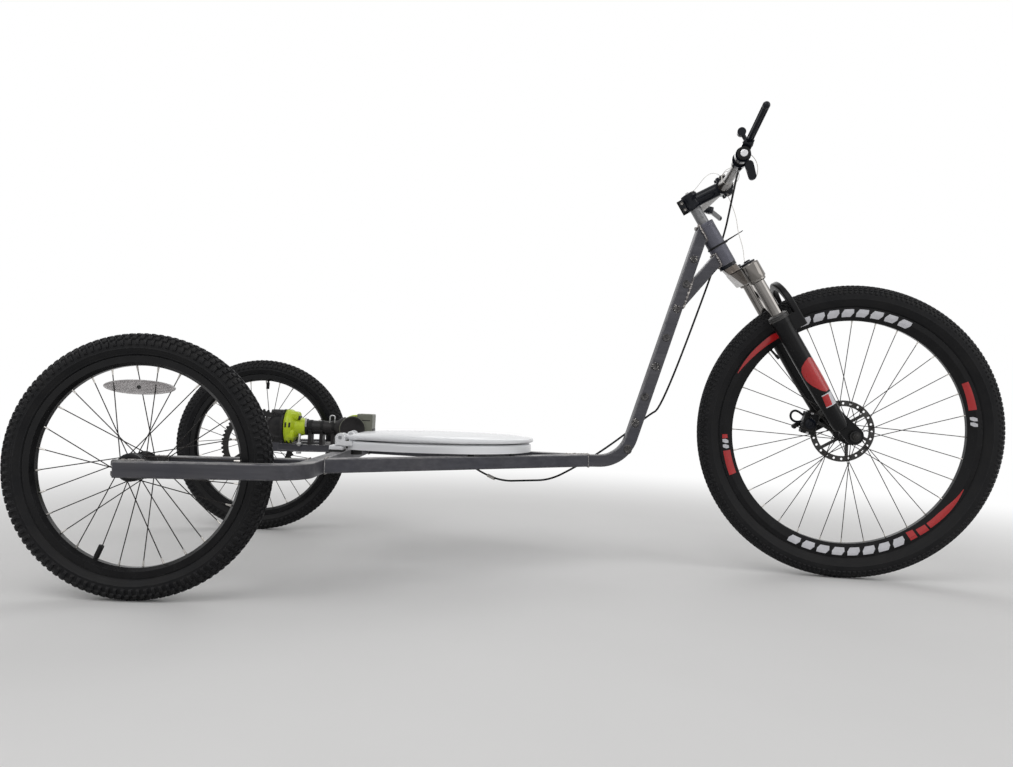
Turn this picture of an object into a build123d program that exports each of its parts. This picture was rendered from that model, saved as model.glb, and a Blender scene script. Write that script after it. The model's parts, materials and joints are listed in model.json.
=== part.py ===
from build123d import *
import os
from math import cos, pi, radians, sin, sqrt, tan

# Recumbent tricycle, millimetres. +X points forward, +Y to the rider's left, +Z up.
# The model is drawn with X measured from the rear axle, then moved so that the
# origin lies on the floor under the middle of its length and width.

# Stance
wheelbase = 1583
half_track = 430
head_angle = 58
rest_steer = -11
frame_rise = 1.2

# Square steel tube of the frame
tube = 30
tube_wall = 2
tube_corner = 3
rail_offset = 75
rail_overhang = 10
hoop_radius = 60
cross_tube_x = 320
rail_spread = 325
joint_setback = 88.8
riser_angle = 73
riser_bend_radius = 85
riser_meet = 120
brace_start_z = 674
brace_meet = 32

# Dropout plates
plate_thickness = 5
plate_height = 32
plate_overhang = 16
plate_forward = 34
plate_corner = 5
axle_diameter = 10
axle_slot = 10.6
nut_window = 22
nut_across = 17
nut_height = 6

# Rear wheels
rear_radius = 254.5
rear_tyre_width = 52
rear_bead_radius = 204
rear_rim_inner = 192
rear_rim_width = 30
rear_spokes = 28
rear_cross = 3
spoke_turns = {-1: 5, 1: 0}
rear_flange_radius = 27
rear_flange_y = 26
rear_hub_radius = 17
rear_hub_half = 50
freewheel_radius = 36
freewheel_width = 14

# Front wheel
front_radius = 373
front_tyre_width = 57
front_bead_radius = 311
front_rim_inner = 284
front_rim_width = 28
front_spokes = 32
front_cross = 3
front_spoke_turn = 2.8
front_flange_radius = 27
front_flange_y = 27
front_hub_radius = 15
front_hub_half = 47

# Parts shared by the wheels
tyre_bead_rise = 7
flange_wall = 2
flange_rise = 6
rim_nose_width = 12
spoke_diameter = 2
spoke_stagger = 2.2
hub_flange_thickness = 3
running_gap = 0.3

# Drive ring on the left wheel and its pinion
chain_pitch = 12.7
ring_teeth = 52
pinion_teeth = 10
ring_offset = 46
ring_thickness = 3
ring_band = 21
ring_arms = 5
ring_arm_width = 18
ring_boss_radius = 32
tooth_height = 5.2
tooth_root_share = 0.40
tooth_tip_share = 0.16
mesh_clearance = 2.2
pinion_elevation = 30.5
pinion_thickness = 6
pinion_shaft_diameter = 12
bearing_width = 14
bearing_block_width = 34

# Cordless grinder used as the motor
tool_y = 222
nose_length = 15
nose_radius = 23
gear_head_length = 35
gear_head_radius = 45
gear_head_width = 62
gear_head_corner = 12
housing_length = 43
housing_radius = 47
neck_length = 12
neck_radius = 26
collar_length = 6
collar_radius = 22
grip_length = 78
grip_radius = 19
flare_length = 18
flare_radius = 31
shoe_length = 55
battery_length = 42
battery_overlap = 14
battery_width = 74
battery_height = 62
battery_rise = 12
mount_bar_length = 142
mount_bar_width = 32
mount_bar_height = 18
saddle_length = 9
arm_width = 20
spindle_back = 8

# Seat
seat_length = 440
seat_width = 370
seat_rear_width = 190
ring_height = 20
lid_rim = 10
lid_dome = ((5, 16, 44), (8, 50, 130))
lid_overhang = 6
ring_hole_length = 280
ring_hole_width = 214
ring_hole_start = 86
seat_gap = 3
bumper_diameter = 14
bumper_height = 5
rear_bumper_diameter = 26
rear_bumper_height = 12
rear_bumper_x = 18
rear_bumper_y = 78
hinge_spread = 78
hinge_pin_diameter = 9
hinge_knuckle_radius = 11
hinge_knuckle_width = 34
hinge_ear_width = 12
hinge_reach = 12
hinge_setback = 6
hinge_foot_rear = 28
hinge_foot_front = 13
hinge_foot_height = 14

# Head tube, fork and steerer
head_tube_low = 4
head_tube_length = 110
head_tube_diameter = 46
head_tube_wall = 3
cup_height = 9
cup_diameter = 45
steerer_diameter = 28.6
steerer_exposed = 44
fork_length = 519
axle_offset = 52
leg_offset = 33
leg_spread = 66
stanchion_diameter = 30
crown_drop = 22
crown_height = 41
crown_round = 4
race_radius = 21
crown_lobe = 23
crown_neck = 24
cap_height = 6
seal_height_above_axle = 341
seal_height = 12
lower_diameter = 44
lower_foot_diameter = 34
lower_foot_rise = 41
arch_reach = 44
arch_clearance = 42
arch_band = 20
arch_depth = 16
arch_corner = 5
arch_foot_drop = 40
dropout_width = 44
dropout_thickness = 12
dropout_y = 50
front_axle_diameter = 9
front_nut_radius = 11
front_nut_height = 7

# Disc brake
rotor_diameter = 160
rotor_thickness = 2
rotor_band = 15
rotor_arms = 6
rotor_arm_width = 8
rotor_holes = 24
rotor_hole_diameter = 6
rotor_y = 37
rotor_carrier_radius = 24
caliper_length = 56
caliper_depth = 36
caliper_inner_y = 31
caliper_outer_y = 56
caliper_angle = 137
caliper_reach = 84
caliper_slot = 6
actuator_radius = 15
actuator_length = 14
arm_length = 34
arm_thickness = 5
arm_height = 12
mount_width = 10
mount_height = 14

# Stem, handlebar and levers
stem_length = 85
stem_rise = -4
stem_diameter = 34
stem_clamp_height = 38
stem_clamp_radius = 20
bar_clamp_width = 42
bar_clamp_radius = 21
bar_half_width = 372
bar_diameter = 22.2
bar_bulge_diameter = 31.8
bar_bulge_half = 34
bar_taper = 42
bar_sweep = 1.6
bar_end_rise = 7
lever_collar_width = 18
lever_collar_radius = 16
lever_inset = 12
lever_perch = 26
lever_perch_diameter = 18
lever_blade_length = 120
lever_blade_width = 15
lever_blade_thickness = 8
lever_spread = 25
knob_radius = 9
knob_width = 12
knob_rise = 27

# Throttle on the right half of the bar: clamp, cable boss and thumb paddle
throttle_reach = 288
throttle_width = 24
throttle_radius = 17
boss_diameter = 9
boss_length = 5
paddle_root = (86, 166, 9)
paddle_tip = (80, 141, 8)
paddle_width = 8

# Throttle cable and bare brake wire
cable_diameter = 5
wire_diameter = 1.6
arc_share = 0.45
cable_start = (70, -283, 170.5)
# Route on the steered parts, from the throttle to the head tube: x, y, z from the crown
upper_route = (
    (73.6, -215, 164.1), (75.4, -150, 153.6), (69.2, -80, 133.2), (57.6, -20, 108.4), (42.1, 15, 83.8))
# Route along the head tube: x, y, z from the crown, fork straight ahead
head_route = ((11, 26.2, 45.8), (-31.9, 24.8, 5.4))
tie_gap = 1.2
# Route past the riser: distance up from its corner, y, distance ahead of its middle
riser_route = ((161, 19, 53.5), (132.7, 17.8, 27.7), (69.3, 17.8, -10.4))
# Route below the rails: distance ahead of the joint, y, height above the rails' middle
rail_route = (
    (24.5, 17.8, 13.6), (-26, 37, -20.3), (-88, 52, -56), (-150, 68, -60), (-217, 80, -64),
    (-285, 137, -37), (-325, 184, -5))
wire_route = (
    (82, -19, 162), (74.5, -38, 127), (68, -41, 93), (54, -42, 60), (46.5, -44, 21), (32, -46, -10),
    (30, -46, -22))
adjuster_diameter = 9
adjuster_start = 0.2
adjuster_end = 0.45
grommet_diameter = 13
grommet_height = 3

# Reflector on the right wheel's outer spokes
reflector_radius = 150.6
reflector_half_length = 67
reflector_end = 6
reflector_half_height = 13.5
reflector_thickness = 9
reflector_y = -3.5
reflector_turn = 2.3
reflector_tilt = 2.1

# Worked out from the sizes above
head = radians(head_angle)
steer = radians(rest_steer)
half_tube = tube / 2
axle_z = rear_radius
outer_rail_y = half_track + rail_offset
inner_rail_y = half_track - rail_offset
cross_front_x = cross_tube_x + half_tube
cross_rear_x = cross_tube_x - half_tube

lean = sin(steer) * cos(head)
front_crown = front_tyre_width / 2
front_axle_z = (front_radius - front_crown) * sqrt(1 - lean**2) + front_crown
crown_x = wheelbase - axle_offset * sin(head) - fork_length * cos(head)
crown_z = front_axle_z - axle_offset * cos(steer) * cos(head) + fork_length * sin(head)
seal_depth = fork_length - seal_height_above_axle
lower_length = fork_length - seal_depth - lower_foot_rise
arch_peak = fork_length - front_radius - arch_clearance

wheel_turn_x = crown_x + axle_offset * cos(steer) * sin(head) + fork_length * cos(head)
swing = sin(steer) * sin(head)
front_reach = wheel_turn_x + (front_radius - front_crown) * sqrt(1 - swing**2) + front_crown
origin_x = (front_reach - rear_radius) / 2

# The riser's line meets the rails' line at the riser's corner; the V joint lies behind it
rise = radians(frame_rise)
climb = radians(riser_angle)
rail_line = Vector(cos(rise), 0, sin(rise))
riser_line = Vector(cos(climb), 0, sin(climb))
axis_up = Vector(-cos(head), 0, sin(head))
axle_point = Vector(0, 0, axle_z)
crown_point = Vector(crown_x, 0, crown_z)
riser_top = crown_point + axis_up * riser_meet
riser_run = abs((axle_point - riser_top).cross(rail_line).Y / sin(climb - rise))
riser_corner = riser_top - riser_line * riser_run
joint_x = (riser_corner - axle_point).dot(rail_line) - joint_setback
joint_point = axle_point + rail_line * joint_x

frame_place = Pos(0, 0, axle_z) * Rot(0, -frame_rise, 0)
steering_axis = Plane(
    origin=(crown_x, 0, crown_z),
    x_dir=(sin(head), 0, cos(head)),
    z_dir=(-cos(head), 0, sin(head)),
)
steering_place = steering_axis.location * Rot(0, 0, rest_steer)
part_place = Pos(-origin_x, 0, 0)

os.makedirs("parts", exist_ok=True)


def save(name, shape, place=Location()):
    """Write one node, moved from where it was drawn to its place in the part."""
    solids = (part_place * place * shape).solids()
    node = solids[0] if len(solids) == 1 else Compound(children=list(solids))
    node.label = name
    export_step(node, f"parts/{name}.step")


def rod(start, end, diameter):
    """Round bar between two points."""
    start, end = Vector(*start), Vector(*end)
    axis = end - start
    cylinder = Cylinder(diameter / 2, axis.length, align=(Align.CENTER, Align.CENTER, Align.MIN))
    return Plane(origin=start, z_dir=axis).location * cylinder


def disc_y(radius, y_low, y_high, x=0, z=0):
    """Round bar along Y."""
    return rod((x, y_low, z), (x, y_high, z), 2 * radius)


def box_between(low, high):
    """Box from its low corner to its high corner."""
    size = [b - a for a, b in zip(low, high)]
    return Pos(*low) * Box(*size, align=(Align.MIN, Align.MIN, Align.MIN))


def tube_section(path, side):
    """Hollow square section at the start of a path; side is the direction of one wall."""
    plane = Plane(origin=path @ 0, x_dir=side, z_dir=path % 0)
    outer = RectangleRounded(tube, tube, tube_corner)
    inner = Rectangle(tube - 2 * tube_wall, tube - 2 * tube_wall)
    return plane * (outer - inner)


def square_tube(path, side):
    """Hollow square tube along a path."""
    return sweep(tube_section(path, side), path=path)


def solid_square(path, side, size=tube):
    """Solid square bar along a path, used to cope the end of another tube."""
    plane = Plane(origin=path @ 0, x_dir=side, z_dir=path % 0)
    return sweep(plane * Rectangle(size, size), path=path)


# Rear hoop: one tube, bent round at both front corners, open at its rear ends
hoop_path = FilletPolyline(
    (-rail_overhang, -outer_rail_y, 0),
    (cross_tube_x, -outer_rail_y, 0),
    (cross_tube_x, outer_rail_y, 0),
    (-rail_overhang, outer_rail_y, 0),
    radius=hoop_radius,
)
rear_hoop = square_tube(hoop_path, (0, 1, 0))


def nut_notch(rail_y, wheel_side):
    """Rear-open notch in a rail's wheel-side wall, where the axle nut sits."""
    wall_face = rail_y + wheel_side * half_tube
    low_y, high_y = sorted((wall_face - wheel_side * (tube_wall + 1), wall_face + wheel_side))
    slot = box_between((-rail_overhang - 1, low_y, -nut_window / 2), (0, high_y, nut_window / 2))
    return slot + disc_y(nut_window / 2, low_y, high_y)


for side in (-1, 1):
    rear_hoop -= nut_notch(side * outer_rail_y, -side)
save("rear_hoop", rear_hoop, frame_place)

# Inner rails, from the axle to the cross tube
rail_face = inner_rail_y - half_tube
side_names = {-1: "right", 1: "left"}
for side, name in side_names.items():
    path = Line((-rail_overhang, side * inner_rail_y, 0), (cross_rear_x, side * inner_rail_y, 0))
    inner_rail = square_tube(path, (0, 1, 0)) - nut_notch(side * inner_rail_y, side)
    save(f"inner_rail_{name}", inner_rail, frame_place)


def dropout_plate(rail_y, wheel_side):
    """Plate on a rail's wheel-side face, with a slot open to the rear for the axle."""
    face = rail_y + wheel_side * half_tube
    low_y, high_y = sorted((face, face + wheel_side * plate_thickness))
    rear_x = -rail_overhang - plate_overhang
    plate = box_between((rear_x, low_y, -plate_height / 2), (plate_forward, high_y, plate_height / 2))
    plate = fillet(plate.edges().filter_by(Axis.Y), plate_corner)
    slot = box_between((rear_x - 1, low_y - 1, -axle_slot / 2), (0, high_y + 1, axle_slot / 2))
    return plate - slot - disc_y(axle_slot / 2, low_y - 1, high_y + 1)


for side, name in side_names.items():
    outer_plate = dropout_plate(side * outer_rail_y, -side)
    inner_plate = dropout_plate(side * inner_rail_y, side)
    save(f"dropouts_{name}", Compound(children=[outer_plate, inner_plate]), frame_place)

# V rails under the seat: cut by the cross tube, by the middle plane and by the joint plane
for side, name in side_names.items():
    start = Vector(cross_tube_x, side * (rail_spread + half_tube), 0)
    end = Vector(joint_x, 0, 0)
    along = (end - start).normalized()
    path = Line(start, end + along * tube)
    across = Vector(-along.Y, along.X, 0)
    rail = square_tube(path, across)
    rail_core = solid_square(path, across)
    keep_low, keep_high = sorted((0, side * outer_rail_y))
    keep = box_between((cross_front_x, keep_low, -tube), (joint_x, keep_high, tube))
    save(f"side_rail_{name}", rail & keep, frame_place)

# Riser: level at the joint, bent up, and coped to the head tube
riser_path = FilletPolyline(joint_point, riser_corner, riser_top, radius=riser_bend_radius)
head_bar = rod(crown_point - axis_up * tube, crown_point + axis_up * (head_tube_length + tube),
               head_tube_diameter)
riser = square_tube(riser_path, (0, 1, 0)) - head_bar
riser = riser.solids().sort_by(SortBy.VOLUME)[-1]

# Brace between the riser and the lower end of the head tube
brace_start = riser_top - riser_line * (riser_top.Z - brace_start_z) / sin(climb)
brace_end = crown_point + axis_up * brace_meet
brace_path = Line(brace_start, brace_end)
brace = square_tube(brace_path, (0, 1, 0))
riser_core = solid_square(Line(riser_corner, riser_top), (0, 1, 0))
brace = brace - riser_core - head_bar
brace = brace.solids().sort_by(SortBy.VOLUME)[-1]
save("riser_tube", riser)
save("riser_brace", brace)

# Head tube and headset, drawn with Z along the steering axis from the tube's lower end
def ring_z(outer, inner, low, high):
    """Round ring along Z."""
    body = Cylinder(outer, high - low, align=(Align.CENTER, Align.CENTER, Align.MIN))
    hole = Cylinder(inner, high - low + 2, align=(Align.CENTER, Align.CENTER, Align.MIN))
    return Pos(0, 0, low) * body - Pos(0, 0, low - 1) * hole


steerer_radius = steerer_diameter / 2
head_tube_high = head_tube_low + head_tube_length
head_tube_radius = head_tube_diameter / 2
head_tube = ring_z(head_tube_radius, head_tube_radius - head_tube_wall, head_tube_low, head_tube_high)
save("head_tube", head_tube, steering_axis.location)
cups = [
    ring_z(cup_diameter / 2, steerer_radius + running_gap, low, low + cup_height)
    for low in (head_tube_low - cup_height, head_tube_high)
]
save("headset_cups", Compound(children=cups), steering_axis.location)

# Fork, drawn straight ahead in the same frame and turned to the rest angle
stem_low = head_tube_high + cup_height + steerer_exposed
stem_high = stem_low + stem_clamp_height
crown_high = -crown_drop
crown_low = crown_high - crown_height
race_high = head_tube_low - cup_height - running_gap
steerer = rod((0, 0, race_high), (0, 0, stem_high), steerer_diameter)
save("steerer", steerer, steering_place)

with BuildSketch() as crown_outline:
    for y in (-leg_spread, leg_spread):
        with Locations((leg_offset, y)):
            Circle(crown_lobe)
    Circle(crown_neck)
    make_hull()
crown = Pos(0, 0, crown_low) * extrude(crown_outline.sketch, crown_height)
crown = fillet(crown.edges().filter_by(Plane.XY), crown_round)
race = Cone(crown_neck, race_radius, race_high - crown_high + crown_round,
            align=(Align.CENTER, Align.CENTER, Align.MIN))
crown += Pos(0, 0, crown_high - crown_round) * race
for y in (-leg_spread, leg_spread):
    crown -= rod((leg_offset, y, crown_low - 1), (leg_offset, y, crown_high + 1), stanchion_diameter)
save("fork_crown", crown, steering_place)

leg_positions = [(leg_offset, -leg_spread), (leg_offset, leg_spread)]
stanchion_low = -seal_depth - lower_length / 2
stanchions = [
    rod((x, y, stanchion_low), (x, y, crown_high + cap_height), stanchion_diameter)
    for x, y in leg_positions
]
save("stanchions", Compound(children=stanchions), steering_place)

# Lowers: two tapered legs with dropouts, joined by the arch in front of the tyre
lower_top = -seal_depth
lowers = None
for x, y in leg_positions:
    foot_z = lower_top - lower_length
    top_circle = Pos(x, y, lower_top) * Circle(lower_diameter / 2)
    foot_circle = Pos(x, y, foot_z) * Circle(lower_foot_diameter / 2)
    leg = loft([top_circle, foot_circle])
    side = 1 if y > 0 else -1
    drop_low, drop_high = sorted((side * dropout_y, side * (dropout_y + dropout_thickness)))
    ear = disc_y(dropout_width / 2, drop_low, drop_high, axle_offset, -fork_length)
    web_plane = Plane(origin=(0, drop_low, 0), x_dir=(1, 0, 0), z_dir=(0, 1, 0))
    web = make_face(Polyline(
        (x - lower_foot_diameter / 2, -foot_z - dropout_width),
        (x + lower_foot_diameter / 2, -foot_z - dropout_width),
        (axle_offset + dropout_width / 2, fork_length),
        (axle_offset - dropout_width / 2, fork_length),
        close=True,
    ))
    piece = leg + ear + extrude(web_plane * web, amount=dropout_thickness)
    lowers = piece if lowers is None else lowers + piece
for x, y in leg_positions:
    lowers -= rod((x, y, stanchion_low), (x, y, lower_top + 1), stanchion_diameter)

arch_x = leg_offset + arch_reach
arch_foot = lower_top - arch_foot_drop
arch_spring = -arch_peak - leg_spread
arch_path = Line((arch_x, -leg_spread, arch_foot), (arch_x, -leg_spread, arch_spring))
arch_path += ThreePointArc(
    (arch_x, -leg_spread, arch_spring), (arch_x, 0, -arch_peak), (arch_x, leg_spread, arch_spring))
arch_path += Line((arch_x, leg_spread, arch_spring), (arch_x, leg_spread, arch_foot))
arch_section = Plane(origin=(arch_x, -leg_spread, arch_foot), x_dir=(1, 0, 0), z_dir=(0, 0, 1))
arch = sweep(arch_section * RectangleRounded(arch_depth, arch_band, arch_corner), path=arch_path)
for x, y in leg_positions:
    shoulder = box_between((x, y - arch_band / 2, arch_foot), (arch_x, y + arch_band / 2, lower_top))
    arch += shoulder - rod((x, y, stanchion_low), (x, y, lower_top + 1), stanchion_diameter)
lowers += arch
lowers -= disc_y(front_axle_diameter / 2, -leg_spread - dropout_width, leg_spread + dropout_width,
                 axle_offset, -fork_length)
save("fork_lowers", lowers, steering_place)

seals = [
    Pos(x, y, 0) * ring_z(lower_diameter / 2, stanchion_diameter / 2, lower_top, lower_top + seal_height)
    for x, y in leg_positions
]
save("fork_seals", Compound(children=seals), steering_place)

dropout_face = dropout_y + dropout_thickness
front_axle_half = dropout_face + front_nut_height
front_axle = disc_y(front_axle_diameter / 2, -front_axle_half, front_axle_half, axle_offset, -fork_length)
for side in (-1, 1):
    nut_low, nut_high = sorted((side * dropout_face, side * front_axle_half))
    front_axle += disc_y(front_nut_radius, nut_low, nut_high, axle_offset, -fork_length)
    cone_low, cone_high = sorted((side * (front_hub_half + running_gap), side * dropout_y))
    front_axle += disc_y(front_nut_radius, cone_low, cone_high, axle_offset, -fork_length)
save("front_axle", front_axle, steering_place)


# Wheels, drawn about Y at the origin


def revolve_y(points):
    """Turn an outline of (y, radius) points about the Y axis."""
    outline = make_face(Polyline(*[(radius, y, 0) for y, radius in points], close=True))
    return revolve(outline, axis=Axis.Y)


def make_tyre(radius, width, bead_radius, bead_width):
    """Tyre: round crown and two sidewalls down to the rim."""
    half_bead = bead_width / 2
    crown_centre = radius - width / 2
    bead_top = bead_radius + tyre_bead_rise
    crown = ThreePointArc((crown_centre, -width / 2, 0), (radius, 0, 0), (crown_centre, width / 2, 0))
    walls = Polyline(
        (crown_centre, width / 2, 0), (bead_top, half_bead, 0), (bead_radius, half_bead, 0),
        (bead_radius, -half_bead, 0), (bead_top, -half_bead, 0), (crown_centre, -width / 2, 0))
    return revolve(make_face(crown + walls), axis=Axis.Y)


def make_rim(bead_radius, inner_radius, width):
    """Rim: bead seat between two flanges, narrowing to the nose where the spokes end."""
    half = width / 2
    seat_half = half - flange_wall
    nose = rim_nose_width / 2
    return revolve_y([
        (-half, bead_radius + flange_rise), (-seat_half, bead_radius + flange_rise),
        (-seat_half, bead_radius), (seat_half, bead_radius),
        (seat_half, bead_radius + flange_rise), (half, bead_radius + flange_rise),
        (half, bead_radius - flange_rise), (nose, inner_radius), (-nose, inner_radius),
        (-half, bead_radius - flange_rise)])


def make_hub(half_length, body_radius, flange_radius, flange_y, bore_radius):
    """Hub shell with two spoke flanges."""
    half_flange = hub_flange_thickness / 2
    outline = [(-half_length, bore_radius), (-half_length, body_radius)]
    for y in (-flange_y, flange_y):
        outline += [
            (y - half_flange, body_radius), (y - half_flange, flange_radius),
            (y + half_flange, flange_radius), (y + half_flange, body_radius)]
    outline += [(half_length, body_radius), (half_length, bore_radius)]
    return revolve_y(outline)


def make_spokes(count, cross, flange_radius, flange_y, rim_radius):
    """Crossed spokes, half of them to each flange, ending at the rim's nose."""
    per_side = count // 2
    step = 360 / per_side
    reach = flange_radius - 2 * hub_flange_thickness
    spokes = []
    for side in (-1, 1):
        for index in range(per_side):
            turn = 1 if index % 2 == 0 else -1
            hub_angle = radians(index * step + (step / 2 if side > 0 else 0))
            rim_angle = hub_angle + turn * radians(cross * step)
            hub_y = side * flange_y + turn * spoke_stagger
            rim_y = side * spoke_stagger
            rim_reach = rim_radius + flange_rise
            start = (reach * cos(hub_angle), hub_y, reach * sin(hub_angle))
            end = (rim_reach * cos(rim_angle), rim_y, rim_reach * sin(rim_angle))
            spokes.append(rod(start, end, spoke_diameter))
    return spokes


def trimmed(pieces, cutters):
    """Cut each piece by all the cutters and keep its largest solid."""
    result = []
    for piece in pieces:
        for cutter in cutters:
            piece = piece - cutter
        result.append(piece.solids().sort_by(SortBy.VOLUME)[-1])
    return result


# Front wheel
front_wheel_place = steering_place * Pos(axle_offset, 0, -fork_length)
front_tyre = make_tyre(front_radius, front_tyre_width, front_bead_radius, front_rim_width - 2 * flange_wall)
front_rim = make_rim(front_bead_radius, front_rim_inner, front_rim_width)
front_hub = make_hub(front_hub_half, front_hub_radius, front_flange_radius, front_flange_y,
                     front_axle_diameter / 2 + running_gap)
save("front_tyre", front_tyre, front_wheel_place)
save("front_rim", front_rim, front_wheel_place)
save("front_hub", front_hub, front_wheel_place)
front_spoke_set = trimmed(
    make_spokes(front_spokes, front_cross, front_flange_radius, front_flange_y, front_rim_inner),
    [front_rim, front_hub])
save("front_spokes", Compound(children=front_spoke_set), front_wheel_place * Rot(0, -front_spoke_turn, 0))

# Brake rotor: drilled ring, arms and the carrier that bolts to the hub
rotor_radius = rotor_diameter / 2
rotor = disc_y(rotor_radius, 0, rotor_thickness)
rotor -= disc_y(rotor_radius - rotor_band, -1, rotor_thickness + 1)
for index in range(rotor_arms):
    arm = box_between((0, 0, -rotor_arm_width / 2),
                      (rotor_radius - rotor_band / 2, rotor_thickness, rotor_arm_width / 2))
    rotor += Rot(0, index * 360 / rotor_arms, 0) * Pos(0, 0, rotor_carrier_radius / 2) * arm
rotor += disc_y(rotor_carrier_radius, 0, rotor_thickness)
hole_circle = rotor_radius - rotor_band / 2
for index in range(rotor_holes):
    a = radians(index * 360 / rotor_holes)
    rotor -= disc_y(rotor_hole_diameter / 2, -1, rotor_thickness + 1,
                    hole_circle * cos(a), hole_circle * sin(a))
rotor -= disc_y(front_hub_radius, -1, rotor_thickness + 1)
save("brake_rotor", rotor, front_wheel_place * Pos(0, rotor_y, 0))

# Caliper on two tabs behind the left leg, open round the rotor, with its cable arm outside
caliper_turn = radians(caliper_angle)
caliper_x = axle_offset + caliper_reach * cos(caliper_turn)
caliper_z = -fork_length + caliper_reach * sin(caliper_turn)
caliper_mid_y = (caliper_inner_y + caliper_outer_y) / 2
caliper = Box(caliper_depth, caliper_outer_y - caliper_inner_y, caliper_length)
caliper = Rot(0, -caliper_angle, 0) * fillet(caliper.edges(), tube_corner)
caliper = Pos(caliper_x, caliper_mid_y, caliper_z) * caliper
rotor_mid_y = rotor_y + rotor_thickness / 2
caliper -= disc_y(rotor_radius + caliper_slot / 2, rotor_mid_y - caliper_slot / 2,
                  rotor_mid_y + caliper_slot / 2, axle_offset, -fork_length)
actuator_high = caliper_outer_y + actuator_length
caliper += disc_y(actuator_radius, caliper_mid_y, actuator_high, caliper_x, caliper_z) - disc_y(
    rotor_radius + caliper_slot / 2, rotor_mid_y - caliper_slot / 2, rotor_mid_y + caliper_slot / 2,
    axle_offset, -fork_length)
arm_tip_x = caliper_x - arm_length
caliper += box_between((arm_tip_x, actuator_high - arm_thickness, caliper_z),
                       (caliper_x, actuator_high, caliper_z + arm_height))
caliper += disc_y(arm_height / 2, actuator_high - 2 * arm_thickness, actuator_high,
                  arm_tip_x, caliper_z + arm_height / 2)
for shift in (-1, 1):
    tab_z = caliper_z + shift * (caliper_length - mount_height) / 2
    caliper += box_between((caliper_x, caliper_outer_y - mount_width, tab_z - mount_height / 2),
                           (leg_offset, caliper_outer_y, tab_z + mount_height / 2))
caliper -= lowers
caliper -= rod((leg_offset, leg_spread, stanchion_low), (leg_offset, leg_spread, lower_top),
               stanchion_diameter)
save("brake_caliper", caliper.solids().sort_by(SortBy.VOLUME)[-1], steering_place)

# Rear wheels with their axles, and the reflector
rear_tyre = make_tyre(rear_radius, rear_tyre_width, rear_bead_radius, rear_rim_width - 2 * flange_wall)
rear_rim = make_rim(rear_bead_radius, rear_rim_inner, rear_rim_width)
rear_hub = make_hub(rear_hub_half, rear_hub_radius, rear_flange_radius, rear_flange_y,
                    axle_diameter / 2 + running_gap)
rear_spoke_set = trimmed(
    make_spokes(rear_spokes, rear_cross, rear_flange_radius, rear_flange_y, rear_rim_inner),
    [rear_rim, rear_hub])
hub_gap = rail_offset - half_tube - plate_thickness
for side, name in side_names.items():
    place = Pos(0, side * half_track, axle_z)
    save(f"{name}_tyre", rear_tyre, place)
    save(f"{name}_rim", rear_rim, place)
    spokes = [Rot(0, -spoke_turns[side], 0) * spoke for spoke in rear_spoke_set]
    save(f"{name}_spokes", Compound(children=spokes), place)
    hub = rear_hub
    if side < 0:
        drum_high = -rear_flange_y - hub_flange_thickness
        drum_low = drum_high - freewheel_width
        drum = disc_y(freewheel_radius, drum_low, drum_high)
        hub = hub + (drum - disc_y(rear_hub_radius, drum_low, drum_high))
    save(f"{name}_hub", hub, place)
    axle = disc_y(axle_diameter / 2, -hub_gap - plate_thickness - nut_height - tube_wall,
                  hub_gap + plate_thickness + nut_height + tube_wall)
    for end in (-1, 1):
        cone = sorted((end * (rear_hub_half + running_gap), end * hub_gap))
        axle += disc_y(nut_across / 2, *cone)
        nut_face = end * (hub_gap + plate_thickness)
        low, high = sorted((nut_face, nut_face + end * nut_height))
        nut = extrude(RegularPolygon(nut_across / 2, 6, major_radius=False), high - low)
        axle += Pos(0, low, 0) * Rot(-90, 0, 0) * nut
    save(f"{name}_axle", axle, place)


lens_x = reflector_half_length - reflector_end
lens_edge = ThreePointArc((-lens_x, -reflector_end), (0, -reflector_half_height), (lens_x, -reflector_end))
lens_edge += ThreePointArc((lens_x, -reflector_end), (reflector_half_length, 0), (lens_x, reflector_end))
lens_edge += ThreePointArc((lens_x, reflector_end), (0, reflector_half_height), (-lens_x, reflector_end))
lens_edge += ThreePointArc((-lens_x, reflector_end), (-reflector_half_length, 0), (-lens_x, -reflector_end))
reflector = Rot(90, 0, 0) * extrude(make_face(lens_edge), reflector_thickness)
reflector = Pos(0, 0, reflector_radius) * Rot(0, -reflector_tilt, 0) * reflector
reflector = Pos(0, reflector_y + reflector_thickness / 2, 0) * reflector
reflector = Rot(0, -reflector_turn, 0) * reflector
for spoke in rear_spoke_set:
    reflector -= Rot(0, -spoke_turns[-1], 0) * spoke
save("spoke_reflector", reflector, Pos(0, -half_track, axle_z))


def toothed_disc(teeth, thickness):
    """Disc with one straight-sided tooth each pitch, and the pitch radius."""
    pitch_radius = chain_pitch / (2 * sin(pi / teeth))
    root = pitch_radius - tooth_height / 2
    tip = pitch_radius + tooth_height / 2
    pitch_angle = 2 * pi / teeth
    points = []
    for index in range(teeth):
        middle = index * pitch_angle
        for radius, share in ((root, -tooth_root_share), (tip, -tooth_tip_share),
                              (tip, tooth_tip_share), (root, tooth_root_share)):
            a = middle + share * pitch_angle
            points.append((radius * cos(a), radius * sin(a)))
    face = make_face(Polyline(*points, close=True))
    solid = Rot(90, 0, 0) * extrude(face, thickness)
    return solid, pitch_radius, root


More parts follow.
